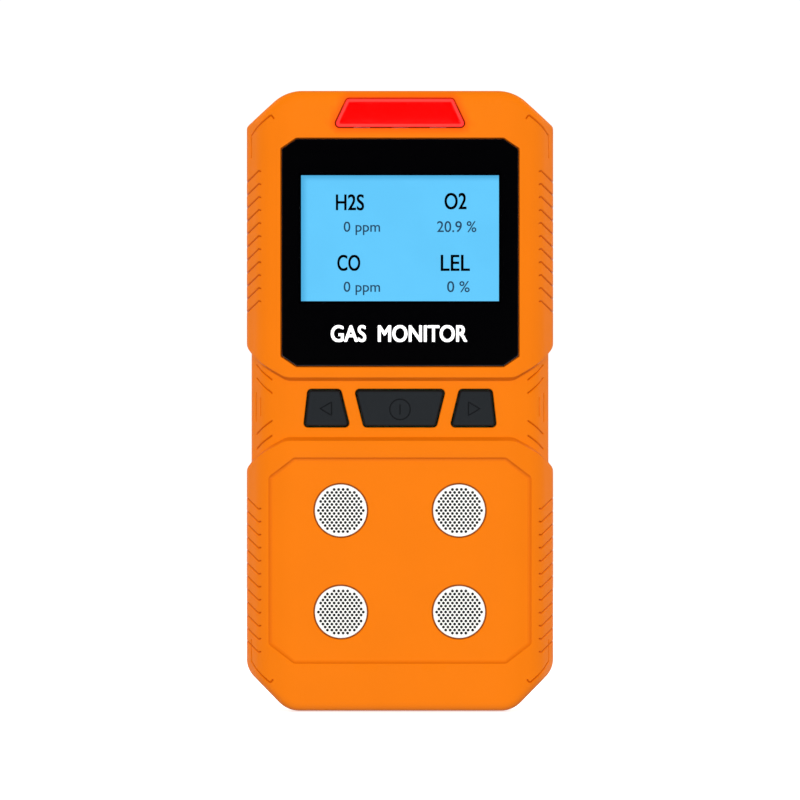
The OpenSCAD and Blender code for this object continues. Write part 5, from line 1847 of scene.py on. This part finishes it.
floor_mesh.materials.append(pale)
floor.visible_diffuse = False
floor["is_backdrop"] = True

# %% Flag behind the camera
flag_mesh = bpy.data.meshes.new("dark_flag")
flag_mesh.from_pydata([(-0.7, -3.2, -0.4), (0.7, -3.2, -0.4), (0.7, -3.2, 0.6), (-0.7, -3.2, 0.6)],
                      [], [(0, 1, 2, 3)])
flag = bpy.data.objects.new("dark_flag", flag_mesh)
bpy.context.scene.collection.objects.link(flag)
felt, tree, body, place = new_finish("black_felt", Roughness=1.0, Specular_IOR_Level=0.0)
body.inputs["Base Color"].default_value = (0, 0, 0, 1)
flag_mesh.materials.append(felt)
flag.visible_camera = False
flag.visible_shadow = False
flag.visible_diffuse = False
flag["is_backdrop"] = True

# %% Lamps
middle = Vector((0, 0, HEIGHT / 2 * MM))


def lamp(name, place, width, height, power):
    """A soft rectangular lamp that faces the object."""
    data = bpy.data.lights.new(name, "AREA")
    data.shape = "RECTANGLE"
    data.size = width
    data.size_y = height
    data.energy = power
    made = bpy.data.objects.new(name, data)
    made.location = place
    made.rotation_euler = (middle - Vector(place)).to_track_quat("-Z", "Y").to_euler()
    made.visible_camera = False
    bpy.context.scene.collection.objects.link(made)
    return made


key = lamp("soft_key", (0, -2.2, 0.45), 1.8, 1.2, 57.0)
key.visible_glossy = False
for side, name in ((-1, "left"), (1, "right")):
    rear = lamp("soft_" + name, (side * 1.4, 0.8, 0.9), 1.2, 1.2, 22.0)
    rear.visible_glossy = False
world = bpy.data.worlds.new("white_room")
world.use_nodes = True
tree = world.node_tree
soft = tree.nodes["Background"]
soft.inputs["Color"].default_value = (1, 1, 1, 1)
soft.inputs["Strength"].default_value = 0.38
paper = add_node(tree, "ShaderNodeBackground", {"Color": (1, 1, 1, 1), "Strength": 1.05})
ray = add_node(tree, "ShaderNodeLightPath")
room = add_node(tree, "ShaderNodeMixShader",
                links={0: (ray, "Is Camera Ray"), 1: (soft, "Background"),
                       2: (paper, "Background")})
tree.links.new(room.outputs["Shader"], tree.nodes["World Output"].inputs["Surface"])
bpy.context.scene.world = world
bpy.context.scene.view_settings.view_transform = "Standard"

# %% Camera
SHOWN = 167.7
EYE_Z = 65.17
lens_data = bpy.data.cameras.new("camera")
lens_data.sensor_width = 36
lens_data.lens = 600
lens_data.clip_end = 20
away = SHOWN * lens_data.lens / lens_data.sensor_width
camera = bpy.data.objects.new("camera", lens_data)
camera.location = (0, (FRONT_Y - away) * MM, EYE_Z * MM)
camera.rotation_euler = (math.pi / 2, 0, 0)
bpy.context.scene.collection.objects.link(camera)
bpy.context.scene.camera = camera
print("camera", round(away), "mm in front of the case")

# %% Compare the sizes
seen_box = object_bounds()
for name, box in (("CAD", cad_box), ("visual", seen_box)):
    print(name, [round(v / MM, 2) for v in box[0]], [round(v / MM, 2) for v in box[1]])
